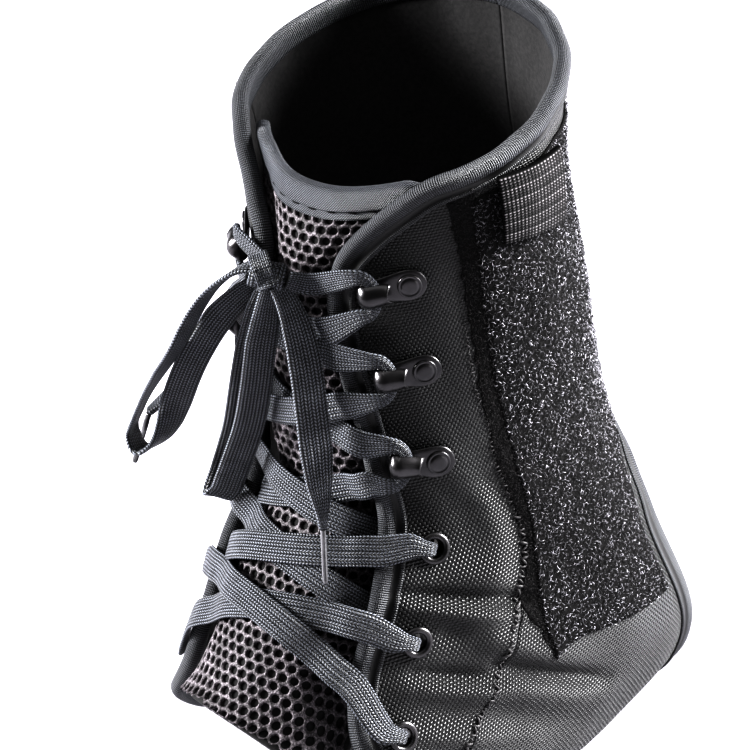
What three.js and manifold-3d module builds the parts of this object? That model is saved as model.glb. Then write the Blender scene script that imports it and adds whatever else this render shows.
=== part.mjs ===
// Lace-up ankle brace: two woven quarters a side around a padded tongue, laced through eyelets and hooks.
// Millimetres, +Z up. The toes point to -Y, the wearer's left is +X, and the sole lies on z = 0.
import * as THREE from 'three';
import { mergeVertices } from 'three/addons/utils/BufferGeometryUtils.js';
import Module from 'manifold-3d';

const wasm = await Module();
wasm.setup();

// Cross-sections of the brace, fanned from the collar (section 0) to the toe opening (section 8).
// Each is an oval from its front point to its back point; widest is how far back its widest place lies.
const sectionColumns = [
  'frontY', 'frontZ', 'backY', 'backZ', 'halfWidth', 'widest', 'frontRound', 'backRound',
];
const sections = [
  [-12.5, 183.5, 61.5, 198.5, 41.3, 0.47, 2.00, 2.0],
  [-19.5, 162.0, 59.4, 166.0, 37.2, 0.50, 1.81, 2.0],
  [-24.5, 137.0, 61.8, 128.0, 36.3, 0.50, 1.90, 2.0],
  [-26.5, 116.3, 63.6, 88.0, 36.2, 0.47, 2.09, 2.0],
  [-29.7, 102.0, 73.0, 52.0, 39.8, 0.52, 2.10, 2.1],
  [-41.7, 88.6, 82.3, 11.2, 42.0, 0.51, 2.27, 2.2],
  [-55.5, 72.8, 47.8, -2.0, 39.0, 0.50, 2.12, 2.4],
  [-65.0, 63.0, -4.5, -2.0, 38.7, 0.56, 1.95, 2.6],
  [-74.5, 60.0, -51.5, -2.0, 41.0, 0.58, 2.00, 2.8],
];

// Side panels, a row for each station from collar to toe edge: angles from the front line in degrees, and
// section numbers. rise lifts the collar's front corner and the toe edge between lacing edge and seam.
const panelColumns = ['frontU', 'frontV', 'rise', 'seamU', 'seamV'];
const panelStations = [
  [21.0, 0.85, 0.33, 65.0, 0.00],
  [19.5, 1.25, 0.14, 68.0, 0.95],
  [23.0, 1.90, 0.03, 71.0, 1.90],
  [27.5, 2.60, 0.00, 73.5, 2.60],
  [29.3, 3.20, 0.00, 74.0, 3.20],
  [30.2, 3.80, 0.00, 72.0, 3.80],
  [31.3, 4.40, 0.00, 70.0, 4.40],
  [33.4, 5.10, 0.00, 71.0, 5.00],
  [37.5, 5.80, 0.00, 74.5, 5.75],
  [43.0, 6.40, 0.00, 79.0, 6.40],
  [49.0, 6.80, -0.02, 84.0, 6.72],
  [58.0, 7.12, -0.08, 93.0, 6.98],
];
const lastStation = panelStations.length - 1;

// Open heel: an oval hole round the back line, between two panel stations.
const heel = { middleV: 4.4, halfAngle: 53, halfHeight: 1.3, firstStation: 2, lastStation: 9, soleEnd: 7.2 };
const degreesPerMm = 1.55;
const sectionsPerMm = 1 / 38;

// Cloth heights, measured from the sections' surface: outwards is positive.
const panelInner = -0.8;
const panelOuter = 1.0;
const pieceGap = 0.3;
const seamHalfGap = 0.35;
const stationRows = 18;
const frontColumns = 5;
const rearColumns = 8;
const backHalfGap = 0.2;
const tongue = {
  topV: 0.06, endV: 7.3, endSkew: 0.006, middleOuter: -0.9, coveredOuter: -3.1, underLace: -5.8,
  thickness: 3.6, pinch: 0.9, pinchEnd: 0.4, pinchFade: 0.68,
  coverBefore: 10, coverAfter: 1, coverAtCollar: 14, coverAtEyelets: 10,
};
const tongueColumns = 14;
const tongueRows = 16;
// Half angle of the tongue, by section.
const tongueWidths = [[0, 62], [1.2, 50], [3, 50], [5, 48], [6.5, 50], [7.3, 52]];
const binding = { legOut: 6.8, legIn: 5.0, outer: 0.8, inner: 0.6, nose: 1.5 };
const toeTapeColumns = 4;
const tapeGap = { edge: 0.5, heel: 0.95, tongue: 0.5 };
const patch = {
  thickness: 1.5, gap: 1.2, topStation: 0.36, tipStation: 7.4, rearStation: 5.9, margin: 8.0, rows: 11,
};
const keeper = {
  fromU: 72.5, toU: 104.5, lean: 4.5, topV: 0.1, endV: 0.92, slant: 0.24, thickness: 1.2, bow: 1.2,
};

// Lacing hardware.
const lacingStations = [
  { kind: 'eyelet', u: 59, v: 6.5 },
  { kind: 'eyelet', u: 48.2, v: 5.37 },
  { kind: 'eyelet', u: 45.4, v: 4.26 },
  { kind: 'hook', u: 53, v: 2.945 },
  { kind: 'hook', u: 50, v: 1.935 },
  { kind: 'hook', u: 46, v: 1.10 },
];
const eyelet = { bore: 2.2, barrel: 2.7, flange: 4.0, hole: 3.0, backFlange: 3.7 };
const hook = {
  plateRadius: 4.2, tail: 4.0, reach: 12.6, halfWidth: 2.7, sheet: 0.9, curl: 2.5, tip: 4.6, hole: 1.5,
};
const rivet = { shank: 1.2, cap: 3.0, capHeight: 1.0, backHead: 2.4 };

// Lace, and where each leg crosses the front line.
const lace = { width: 7.6, thickness: 1.2, bunchedWidth: 3.0, bunchedThickness: 2.2 };
const crossingV = [5.45, 4.76, 3.9, 2.5, 1.65];
const legHeight = { over: 3.4, under: -3.3, onTongue: 1.6, raised: 1.6, underTongue: -10.9 };

// Bow: the knot, and each free stretch's route, by hand.
const knot = { centre: [-1.5, -28.0, 163.0], radii: [5.2, 5.2, 6.2] };
const bowLoopRight = [
  [-7.2, -29.8, 165.0], [-11.5, -32.0, 163.0], [-16.0, -34.5, 159.0], [-19.5, -36.6, 154.4],
  [-23.0, -38.5, 149.0], [-27.0, -40.2, 142.0], [-31.0, -41.6, 135.0], [-34.8, -42.7, 129.0],
  [-38.2, -43.6, 123.0], [-41.0, -44.3, 117.0], [-42.6, -44.2, 111.6], [-41.8, -43.0, 107.8],
  [-38.8, -41.4, 107.0], [-35.2, -39.9, 109.6], [-32.2, -38.6, 114.0], [-29.5, -37.4, 120.0],
  [-26.4, -36.2, 127.0], [-23.0, -35.2, 134.0], [-19.4, -34.4, 141.4], [-15.5, -33.8, 148.0],
  [-11.4, -33.2, 153.4], [-7.4, -32.6, 156.6],
];
const bowLoopLeft = [
  [-0.6, -32.2, 155.8], [-1.8, -32.0, 150.0], [-3.2, -31.8, 144.4], [-5.6, -31.7, 137.0],
  [-8.4, -31.7, 129.4], [-11.2, -31.9, 122.4], [-14.0, -32.2, 115.6], [-17.0, -32.7, 109.4],
  [-19.8, -33.3, 103.6], [-22.4, -34.0, 98.2], [-24.2, -33.8, 94.8], [-25.0, -32.2, 96.2],
  [-23.6, -30.8, 100.6], [-20.6, -29.8, 106.6], [-16.8, -29.2, 115.6], [-13.8, -28.8, 122.6],
  [-11.0, -28.5, 129.4], [-8.2, -28.2, 137.0], [-5.8, -28.0, 144.4], [-4.6, -27.8, 150.0],
  [-3.8, -27.6, 155.4],
];
const laceEndLeft = [
  [3.6, -29.4, 157.6], [5.2, -29.8, 154.8], [6.6, -30.1, 152.0], [7.7, -30.3, 149.2], [8.5, -30.5, 146.0],
  [9.0, -30.7, 142.6], [9.4, -30.9, 139.0], [9.7, -31.1, 135.2], [9.9, -31.4, 131.2], [10.2, -31.8, 127.0],
  [10.5, -32.3, 122.6], [10.8, -33.0, 118.0], [11.3, -33.9, 113.0], [11.9, -34.9, 107.8],
  [12.8, -36.1, 102.0],
];
const aglets = {
  aglet_left: { from: [12.95, -36.3, 101.4], to: [17.5, -41.0, 89.5] },
  aglet_right: { from: [-43.3, -35.4, 114.5], to: [-47.2, -39.6, 101.0] },
};
const laceEndRight = [
  [-7.2, -25.6, 160.6], [-9.6, -25.9, 159.2], [-12.2, -26.2, 157.4], [-14.8, -26.5, 155.4],
  [-17.4, -26.9, 153.2], [-20.0, -27.4, 150.8], [-22.6, -27.9, 148.2], [-25.2, -28.5, 145.4],
  [-27.8, -29.1, 142.4],
  [-30.4, -29.8, 139.2], [-32.9, -30.6, 135.8], [-35.3, -31.5, 132.0], [-37.6, -32.4, 128.0],
  [-39.7, -33.4, 123.4], [-41.6, -34.3, 119.2], [-43.1, -35.2, 115.2],
];
const agletRadius = 1.3;

const colours = {
  nylon: [0x1f1e21, 0.62, 0.0],
  mesh: [0x2b282b, 0.9, 0.0],
  tape: [0x232326, 0.7, 0.0],
  pile: [0x1c1b1e, 1.0, 0.0],
  webbing: [0x3a383b, 0.75, 0.0],
  metal: [0x1b1b1e, 0.25, 1.0],
  lace: [0x26262b, 0.75, 0.0],
  aglet: [0x5a5a5e, 0.2, 0.0],
};

const group = new THREE.Group();

function addMesh(name, geometry, colour) {
  const [color, roughness, metalness] = colours[colour];
  const mesh = new THREE.Mesh(geometry, new THREE.MeshStandardMaterial({ color, roughness, metalness }));
  mesh.name = name;
  group.add(mesh);
  return mesh;
}

const lerp = THREE.MathUtils.lerp;
const smooth = THREE.MathUtils.smoothstep;

// A smooth curve through a table's rows, as an object keyed by column.
function tableRow(table, columns, at) {
  const i = THREE.MathUtils.clamp(Math.floor(at), 0, table.length - 2);
  const t = at - i;
  const row = {};
  columns.forEach((name, c) => {
    const p1 = table[i][c];
    const p2 = table[i + 1][c];
    const p0 = i > 0 ? table[i - 1][c] : 2 * p1 - p2;
    const p3 = i < table.length - 2 ? table[i + 2][c] : 2 * p2 - p1;
    const bend = 2 * p0 - 5 * p1 + 4 * p2 - p3;
    const twist = 3 * p1 - p0 - 3 * p2 + p3;
    row[name] = 0.5 * (2 * p1 + (p2 - p0) * t + bend * t * t + twist * t * t * t);
  });
  return row;
}

// Straight interpolation in a table of pairs.
function pairAt(table, at) {
  let i = 1;
  while (i < table.length - 1 && table[i][0] < at) i += 1;
  const t = THREE.MathUtils.clamp((at - table[i - 1][0]) / (table[i][0] - table[i - 1][0]), 0, 1);
  return lerp(table[i - 1][1], table[i][1], t);
}

// The brace's surface: u degrees round from the front line towards +X, v along the sections.
function surface(u, v) {
  const row = tableRow(sections, sectionColumns, v);
  const cos = Math.cos(THREE.MathUtils.degToRad(u));
  const sin = Math.sin(THREE.MathUtils.degToRad(u));
  const power = 2 / (cos > 0 ? row.frontRound : row.backRound);
  const across = Math.abs(cos) ** power;
  const depth = cos > 0 ? row.widest * (1 - across) : row.widest + (1 - row.widest) * across;
  return new THREE.Vector3(
    row.halfWidth * Math.sign(sin) * Math.abs(sin) ** power,
    lerp(row.frontY, row.backY, depth),
    lerp(row.frontZ, row.backZ, depth),
  );
}

function slopes(u, v) {
  const stepU = 0.5;
  const stepV = 0.01;
  const alongU = surface(u + stepU, v).sub(surface(u - stepU, v)).divideScalar(2 * stepU);
  const alongV = surface(u, v + stepV).sub(surface(u, v - stepV)).divideScalar(2 * stepV);
  return { alongU, alongV, normal: alongV.clone().cross(alongU).normalize() };
}

// A point at height h over the surface, flattened where the sole lies on the ground.
function place(u, v, h) {
  const point = surface(u, v).addScaledVector(slopes(u, v).normal, h);
  point.z = Math.max(point.z, panelOuter - h);
  return point;
}

// Panel outlines. Columns crowd towards the lacing edge, where the collar's corner turns.
const frontColumn = (fraction) => fraction ** 1.5;

function frontPlace(s, k) {
  const row = tableRow(panelStations, panelColumns, k);
  const hump = (4 * s * (1 - s)) ** 0.7;
  const u = lerp(row.frontU, row.seamU - seamHalfGap, s);
  return [u, lerp(row.frontV, row.seamV, s) - row.rise * hump];
}

function backEdge(k, margin) {
  const limit = 180 - backHalfGap - (margin ? 2 : 0);
  const { firstStation, lastStation: heelEnd } = heel;
  const halfHeight = heel.halfHeight + margin * sectionsPerMm;
  const top = heel.middleV - halfHeight;
  const low = heel.middleV + halfHeight;
  if (k <= firstStation) return [limit, (top * k) / firstStation];
  if (k >= heelEnd) return [limit, lerp(low, heel.soleEnd, (k - heelEnd) / (lastStation - heelEnd))];
  const turn = Math.PI * ((k - firstStation) / (heelEnd - firstStation) - 0.5);
  const reach = (heel.halfAngle + margin * degreesPerMm) * Math.cos(turn);
  return [Math.min(limit, 180 - reach), heel.middleV + halfHeight * Math.sin(turn)];
}

function rearPlace(s, k, margin = 0) {
  const row = tableRow(panelStations, panelColumns, k);
  const [backU, backV] = backEdge(k, margin);
  return [lerp(row.seamU + seamHalfGap, backU, s), lerp(row.seamV, backV, s)];
}

// The angle of the panel's front outline at a section, from collar corner to toe edge.
const frontOutline = [];
for (let i = 0; i <= 24; i += 1) {
  const [u, v] = frontPlace(1 - i / 24, 0);
  frontOutline.push([v, u]);
}
for (let k = 0.25; k <= lastStation; k += 0.25) {
  const [u, v] = frontPlace(0, k);
  frontOutline.push([v, u]);
}
const lacingEdgeAt = (v) => pairAt(frontOutline, v);

// Closed solids.
function closedGeometry(points, triangles) {
  const geometry = new THREE.BufferGeometry();
  const position = new Float32Array(points.flatMap((p) => [p.x, p.y, p.z]));
  geometry.setAttribute('position', new THREE.BufferAttribute(position, 3));
  geometry.setIndex(triangles.flat());
  geometry.computeVertexNormals();
  return geometry;
}

function mirrored(geometry) {
  const copy = geometry.clone();
  copy.scale(-1, 1, 1);
  const index = Array.from(copy.index.array);
  for (let i = 0; i < index.length; i += 3) [index[i], index[i + 1]] = [index[i + 1], index[i]];
  copy.setIndex(index);
  copy.computeVertexNormals();
  return copy;
}

// A cloth wall between two heights, over a grid of places (a across towards +u, b down towards +v).
function sheet(across, down, locate, inner, outer) {
  const points = [];
  const faces = [];
  const id = (i, j, side) => (j * (across + 1) + i) * 2 + side;
  for (let j = 0; j <= down; j += 1) {
    for (let i = 0; i <= across; i += 1) {
      const [u, v] = locate(i / across, j / down);
      points.push(place(u, v, inner(u, v, i / across, j / down)));
      points.push(place(u, v, outer(u, v, i / across, j / down)));
    }
  }
  for (let j = 0; j < down; j += 1) {
    for (let i = 0; i < across; i += 1) {
      faces.push([id(i, j, 1), id(i, j + 1, 1), id(i + 1, j, 1)]);
      faces.push([id(i + 1, j, 1), id(i, j + 1, 1), id(i + 1, j + 1, 1)]);
      faces.push([id(i, j, 0), id(i + 1, j, 0), id(i, j + 1, 0)]);
      faces.push([id(i + 1, j, 0), id(i + 1, j + 1, 0), id(i, j + 1, 0)]);
    }
  }
  const wall = (a, b) => {
    faces.push([a, b, a + 1]);
    faces.push([b, b + 1, a + 1]);
  };
  for (let i = 0; i < across; i += 1) {
    wall(id(i + 1, 0, 0), id(i, 0, 0));
    wall(id(i, down, 0), id(i + 1, down, 0));
  }
  for (let j = 0; j < down; j += 1) {
    wall(id(0, j, 0), id(0, j + 1, 0));
    wall(id(across, j + 1, 0), id(across, j, 0));
  }
  return closedGeometry(points, faces);
}

// A solid lofted through rings of equal counts, with flat end caps.
function loft(rings) {
  const count = rings[0].length;
  const points = rings.flat();
  const faces = [];
  for (let r = 0; r < rings.length - 1; r += 1) {
    for (let i = 0; i < count; i += 1) {
      const j = (i + 1) % count;
      faces.push([r * count + i, r * count + j, (r + 1) * count + i]);
      faces.push([r * count + j, (r + 1) * count + j, (r + 1) * count + i]);
    }
  }
  const cap = (ring, flip) => {
    const flat = flatten(rings[ring]);
    THREE.ShapeUtils.triangulateShape(flat, []).forEach(([a, b, c]) => {
      const at = [a, b, c].map((n) => ring * count + n);
      faces.push(flip ? [at[0], at[2], at[1]] : at);
    });
  };
  cap(0, true);
  cap(rings.length - 1, false);
  return outwards(closedGeometry(points, faces));
}

// A ring's points in its own plane, turning the same way as the ring.
function flatten(ring) {
  const normal = new THREE.Vector3();
  ring.forEach((p, i) => normal.add(p.clone().cross(ring[(i + 1) % ring.length])));
  normal.normalize();
  const first = ring[1].clone().sub(ring[0]).normalize();
  const second = normal.clone().cross(first);
  return ring.map((p) => new THREE.Vector2(p.dot(first), p.dot(second)));
}

function outwards(geometry) {
  const p = geometry.attributes.position;
  const index = Array.from(geometry.index.array);
  const corner = (i) => new THREE.Vector3().fromBufferAttribute(p, index[i]);
  let volume = 0;
  for (let i = 0; i < index.length; i += 3) volume += corner(i).dot(corner(i + 1).cross(corner(i + 2)));
  if (volume > 0) return geometry;
  for (let i = 0; i < index.length; i += 3) [index[i], index[i + 1]] = [index[i + 1], index[i]];
  geometry.setIndex(index);
  geometry.computeVertexNormals();
  return geometry;
}

function toSolid(geometry) {
  const bare = geometry.clone();
  Object.keys(bare.attributes).forEach((name) => name !== 'position' && bare.deleteAttribute(name));
  const merged = mergeVertices(bare, 1e-4);
  return new wasm.Manifold(new wasm.Mesh({
    numProp: 3,
    vertProperties: new Float32Array(merged.attributes.position.array),
    triVerts: new Uint32Array(merged.index.array),
  }));
}

function fromSolid(solid) {
  const mesh = solid.getMesh();
  const geometry = new THREE.BufferGeometry();
  geometry.setAttribute('position', new THREE.BufferAttribute(mesh.vertProperties, 3));
  geometry.setIndex(Array.from(mesh.triVerts));
  geometry.computeVertexNormals();
  return geometry;
}

// Axes on the panel's outside at a lacing station: in towards the lacing edge, out along the normal, up.
function stationAxes({ u, v }, side) {
  const { alongU, normal } = slopes(u, v);
  const inward = alongU.clone().addScaledVector(normal, -alongU.dot(normal)).normalize().negate();
  const centre = place(u, v, 0);
  const flip = new THREE.Vector3(side, 1, 1);
  [inward, normal, centre].forEach((vector) => vector.multiply(flip));
  const upward = inward.clone().cross(normal);
  return { centre, inward, normal, upward, basis: new THREE.Matrix4().makeBasis(inward, normal, upward) };
}

function stationMesh(name, geometry, colour, axes) {
  const mesh = addMesh(name, geometry, colour);
  mesh.position.copy(axes.centre);
  mesh.quaternion.setFromRotationMatrix(axes.basis);
  return mesh;
}

function drill(axes, radius, sides) {
  const reach = 12;
  const cutter = new THREE.CylinderGeometry(radius, radius, reach, sides);
  cutter.applyMatrix4(axes.basis.clone().setPosition(axes.centre));
  return toSolid(cutter);
}

const sides = { left: 1, right: -1 };
const mirroredFor = (geometry, side) => (side > 0 ? geometry : mirrored(geometry));

// Quarters, cut for the eyelets and rivets.
function frontQuarter() {
  const locate = (a, b) => frontPlace(frontColumn(a), b * lastStation);
  const whole = sheet(frontColumns, stationRows, locate, () => panelInner, () => panelOuter);
  let solid = toSolid(whole);
  lacingStations.forEach((station) => {
    const isHook = station.kind === 'hook';
    const axes = stationAxes(station, 1);
    solid = solid.subtract(drill(axes, isHook ? hook.hole : eyelet.hole, isHook ? 6 : 8));
  });
  return fromSolid(solid);
}

function rearQuarter() {
  const locate = (a, b) => rearPlace(a, b * lastStation);
  return sheet(rearColumns, stationRows, locate, () => panelInner, () => panelOuter);
}

// Tongue heights: bulging between the lacing edges, low under the panels, pinched at its bound top.
function tongueCover(v) {
  const edge = lacingEdgeAt(Math.max(v, tongue.pinchEnd));
  const atCollar = tongue.coverAtCollar * (1 - smooth(v, 0.3, 0.9));
  const atEyelets = tongue.coverAtEyelets * smooth(v, 3.0, 3.8);
  return [edge - tongue.coverBefore - atCollar - atEyelets, edge + tongue.coverAfter];
}

const tonguePinch = (v) => THREE.MathUtils.clamp(
  (tongue.pinchFade - v) / (tongue.pinchFade - tongue.pinchEnd), 0, 1,
);

function tongueOuter(u, v) {
  const [from, to] = tongueCover(v);
  const covered = THREE.MathUtils.clamp((Math.abs(u) - from) / (to - from), 0, 1);
  const low = lerp(tongue.coveredOuter, tongue.underLace, smooth(v, 2.9, 3.7));
  return lerp(tongue.middleOuter, low, covered) - tongue.pinch * tonguePinch(v);
}

function tongueInner(u, v) {
  return tongueOuter(u, v) - tongue.thickness + 2 * tongue.pinch * tonguePinch(v);
}

// Columns keep to the bulge's foot and top, so that its slope is even.
function tonguePlace(a, b) {
  const side = 2 * a - 1;
  const endV = tongue.endV + tongue.endSkew * side * pairAt(tongueWidths, tongue.endV);
  const row = b * tongueRows;
  const v = pairAt([[0, tongue.topV], [2, tongue.pinchEnd], [3, tongue.pinchFade], [tongueRows, endV]], row);
  const [from, to] = tongueCover(v);
  const columns = [[0, 0], [3 / 7, from], [5 / 7, to], [1, pairAt(tongueWidths, v)]];
  return [Math.sign(side) * pairAt(columns, Math.abs(side)), v];
}

// Folded tape along an edge, swept from a section of rows: reach beyond the edge, share of the way from
// the cloth's outer face to its inner face, and height over that.
function foldedTape(path, gap, outerFace, innerFace) {
  const section = foldSection(gap);
  const rings = path.map(([u, v], i) => {
    const before = path[Math.max(i - 1, 0)];
    const after = path[Math.min(i + 1, path.length - 1)];
    const along = surface(...after).sub(surface(...before)).normalize();
    const { alongU, alongV, normal } = slopes(u, v);
    const beyond = along.clone().cross(normal).normalize();
    const uu = alongU.dot(alongU);
    const vv = alongV.dot(alongV);
    const uv = alongU.dot(alongV);
    const bu = beyond.dot(alongU);
    const bv = beyond.dot(alongV);
    const scale = 1 / (uu * vv - uv * uv);
    const du = (bu * vv - bv * uv) * scale;
    const dv = (bv * uu - bu * uv) * scale;
    return section.map(([reach, share, lift]) => {
      const [atU, atV] = [u + du * reach, v + dv * reach];
      return place(atU, atV, lerp(outerFace(atU, atV), innerFace(atU, atV), share) + lift);
    });
  });
  return loft(rings);
}

const foldSection = (gap) => [
  [-binding.legOut, 0, gap],
  [-binding.legOut + 0.3, 0, gap + binding.outer * 0.8],
  [-0.6, 0, gap + binding.outer],
  [binding.nose - 0.3, 0.2, gap],
  [binding.nose - 0.3, 0.8, -gap],
  [-0.6, 1, -gap - binding.inner],
  [-binding.legIn, 1, -gap - binding.inner * 0.8],
  [-binding.legIn, 1, -gap],
  [pieceGap, 1, -gap],
  [pieceGap, 0, gap],
];

function edgeBinding() {
  const path = [rearPlace(0.997, 0)];
  for (let i = rearColumns - 1; i > 0; i -= 1) path.push(rearPlace(i / rearColumns, 0));
  for (let i = frontColumns; i > 0; i -= 1) path.push(frontPlace(frontColumn(i / frontColumns), 0));
  for (let j = 0; j <= stationRows; j += 1) path.push(frontPlace(0, (j / stationRows) * lastStation));
  for (let i = 1; i <= frontColumns; i += 1) {
    path.push(frontPlace(frontColumn(i / frontColumns), lastStation));
  }
  for (let i = 1; i <= toeTapeColumns; i += 1) path.push(rearPlace(i / rearColumns, lastStation));
  return foldedTape(path, tapeGap.edge, () => panelOuter, () => panelInner);
}

function heelBinding() {
  const path = [];
  const step = lastStation / stationRows;
  for (let k = heel.lastStation - 1; k > heel.firstStation; k -= step) path.push(backEdge(k, 0));
  const farSide = path.map(([u, v]) => [360 - u, v]).reverse();
  const top = [180, heel.middleV - heel.halfHeight];
  return foldedTape([...path, top, ...farSide], tapeGap.heel, () => panelOuter, () => panelInner);
}

function tongueBinding() {
  const path = [];
  for (let i = tongueColumns; i >= 0; i -= 1) path.push(tonguePlace(i / tongueColumns, 0));
  return foldedTape(path, tapeGap.tongue, tongueOuter, tongueInner);
}

// Loop patch on the rear quarter, slanting to a tip at its front corner, and the webbing keeper over it.
function patchPlace(a, b) {
  const low = lerp(patch.tipStation, patch.rearStation, a ** 0.8);
  const k = lerp(patch.topStation, low, b);
  const from = 0.02 + 0.18 * smooth(k, 6.3, patch.tipStation);
  return rearPlace(lerp(from, 1, a), k, patch.margin);
}

function keeperHeight(b) {
  const foot = panelOuter + patch.gap + patch.thickness + 2 * pieceGap;
  return foot + keeper.bow * Math.sin(Math.PI * b) ** 0.6;
}

// Hardware.
function eyeletGeometry() {
  const out = panelOuter + pieceGap;
  const back = panelInner - 2 * pieceGap;
  const profile = [
    [eyelet.bore, back - 0.5], [eyelet.backFlange, back - 0.5], [eyelet.backFlange, back],
    [eyelet.barrel, back], [eyelet.barrel, out], [eyelet.flange, out], [eyelet.flange - 0.6, out + 0.9],
    [eyelet.bore, out + 0.6], [eyelet.bore, back - 0.5],
  ];
  return new THREE.LatheGeometry(profile.map(([r, h]) => new THREE.Vector2(r, h)), 8);
}

function hookGeometry() {
  const base = panelOuter + pieceGap;
  const { curl, sheet: metal, halfWidth, tail, reach, tip } = hook;
  const turn = reach - curl;
  const profile = new THREE.Shape();
  profile.moveTo(-tail, base);
  profile.lineTo(turn, base);
  profile.absarc(turn, base + curl, curl, -Math.PI / 2, Math.PI / 2, false);
  profile.lineTo(tip, base + 2 * curl - 0.4);
  profile.lineTo(tip - 0.3, base + 2 * curl - metal - 0.2);
  profile.lineTo(turn, base + 2 * curl - metal);
  profile.absarc(turn, base + curl, curl - metal, Math.PI / 2, -Math.PI / 2, true);
  profile.lineTo(-tail, base + metal);
  profile.closePath();
  const strip = new THREE.ExtrudeGeometry(profile, {
    depth: 2 * halfWidth, bevelEnabled: false, curveSegments: 4,
  });
  strip.translate(0, 0, -halfWidth);
  const plate = new THREE.CylinderGeometry(hook.plateRadius, hook.plateRadius, metal, 12);
  plate.translate(0, base + metal / 2, 0);
  const bore = new THREE.CylinderGeometry(hook.hole, hook.hole, 4, 6);
  bore.translate(0, base + metal / 2, 0);
  return fromSolid(toSolid(strip).add(toSolid(plate)).subtract(toSolid(bore)));
}

function rivetGeometry() {
  const cap = panelOuter + 2 * pieceGap + hook.sheet;
  const back = panelInner - 2 * pieceGap;
  const profile = [
    [0, back - 0.6], [rivet.backHead, back - 0.6], [rivet.backHead, back], [rivet.shank, back],
    [rivet.shank, cap], [rivet.cap, cap], [rivet.cap - 0.8, cap + rivet.capHeight],
    [0, cap + rivet.capHeight],
  ];
  return new THREE.LatheGeometry(profile.map(([r, h]) => new THREE.Vector2(r, h)), 7);
}

// Lace: control spots with a place, the ribbon's width direction, its width and its thickness.
function ribbon(spots, stepsEach) {
  const curve = new THREE.CatmullRomCurve3(spots.map((spot) => spot.at), false, 'centripetal');
  spots.forEach((spot, i) => {
    if (i > 0 && spot.wide.dot(spots[i - 1].wide) < 0) spot.wide.negate();
  });
  const rings = [];
  const total = (spots.length - 1) * stepsEach;
  for (let n = 0; n <= total; n += 1) {
    const i = Math.min(Math.floor(n / stepsEach), spots.length - 2);
    const t = n / stepsEach - i;
    const at = curve.getPoint(n / total);
    const along = curve.getTangent(n / total);
    const wide = spots[i].wide.clone().lerp(spots[i + 1].wide, t);
    wide.addScaledVector(along, -wide.dot(along)).normalize();
    const thick = along.clone().cross(wide).normalize();
    const w = lerp(spots[i].width, spots[i + 1].width, t) / 2;
    const h = lerp(spots[i].thickness, spots[i + 1].thickness, t) / 2;
    const corner = (x, y) => at.clone().addScaledVector(wide, x * w).addScaledVector(thick, y * h);
    rings.push([corner(-1, -1), corner(1, -1), corner(1, 1), corner(-1, 1)]);
  }
  return loft(rings);
}

function spotAt(point, wide, width = lace.width, thickness = lace.thickness) {
  return { at: point, wide: wide.clone(), width, thickness };
}

function stationPoint(axes, inward, upward, h) {
  const point = axes.centre.clone().addScaledVector(axes.inward, inward);
  return point.addScaledVector(axes.upward, upward).addScaledVector(axes.normal, h);
}

// The spots where the lace turns at a station, in the order it runs from below to above.
function turnSpots(station, side, fromInside) {
  const axes = stationAxes(station, side);
  const up = axes.upward.clone().multiplyScalar(side);
  const { bunchedWidth, bunchedThickness } = lace;
  if (station.kind === 'eyelet') {
    const outside = [
      spotAt(stationPoint(axes, 6.8, 0, 3.9), up, 6.4),
      spotAt(stationPoint(axes, 3.6, 0, 4.2), up, 4.2, 1.5),
      spotAt(stationPoint(axes, 1.1, 0, 3.9), up, 3.4, 1.8),
    ];
    const bore = [
      spotAt(stationPoint(axes, 0, 0, 1.6), up, bunchedWidth, bunchedThickness),
      spotAt(stationPoint(axes, 0, 0, -1.6), up, bunchedWidth, bunchedThickness),
    ];
    const inside = [
      spotAt(stationPoint(axes, 0.8, 0, -3.2), up, 3.2, 1.8),
      spotAt(stationPoint(axes, 2.8, 0, -3.6), up, 4.0, 1.4),
      spotAt(stationPoint(axes, 6.5, 0, -3.3), up, 6.4),
    ];
    if (fromInside) return [...bore.reverse(), ...outside.reverse()];
    return [...outside, ...bore, ...inside];
  }
  const lift = panelOuter + pieceGap + hook.curl;
  const turn = [[13.2, -5.4, 3.3, 4.6, 1.3], [10.2, -4.7, 3.6, 3.2, 1.9], [8.0, 0, lift, 2.8, 2.1],
    [10.2, 4.7, 3.6, 3.2, 1.9], [13.2, 5.4, 3.3, 4.6, 1.3]];
  return turn.map(([inward, upward, h, width, thickness], i) => {
    const ahead = [[-1, 0.1], [-0.7, 0.7], [0, 1], [0.7, 0.7], [1, 0.1]][i];
    const along = axes.inward.clone().multiplyScalar(ahead[0]).addScaledVector(up, ahead[1]);
    const point = stationPoint(axes, inward, upward * side, h);
    return spotAt(point, axes.normal.clone().cross(along).normalize(), width, thickness);
  });
}

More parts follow.
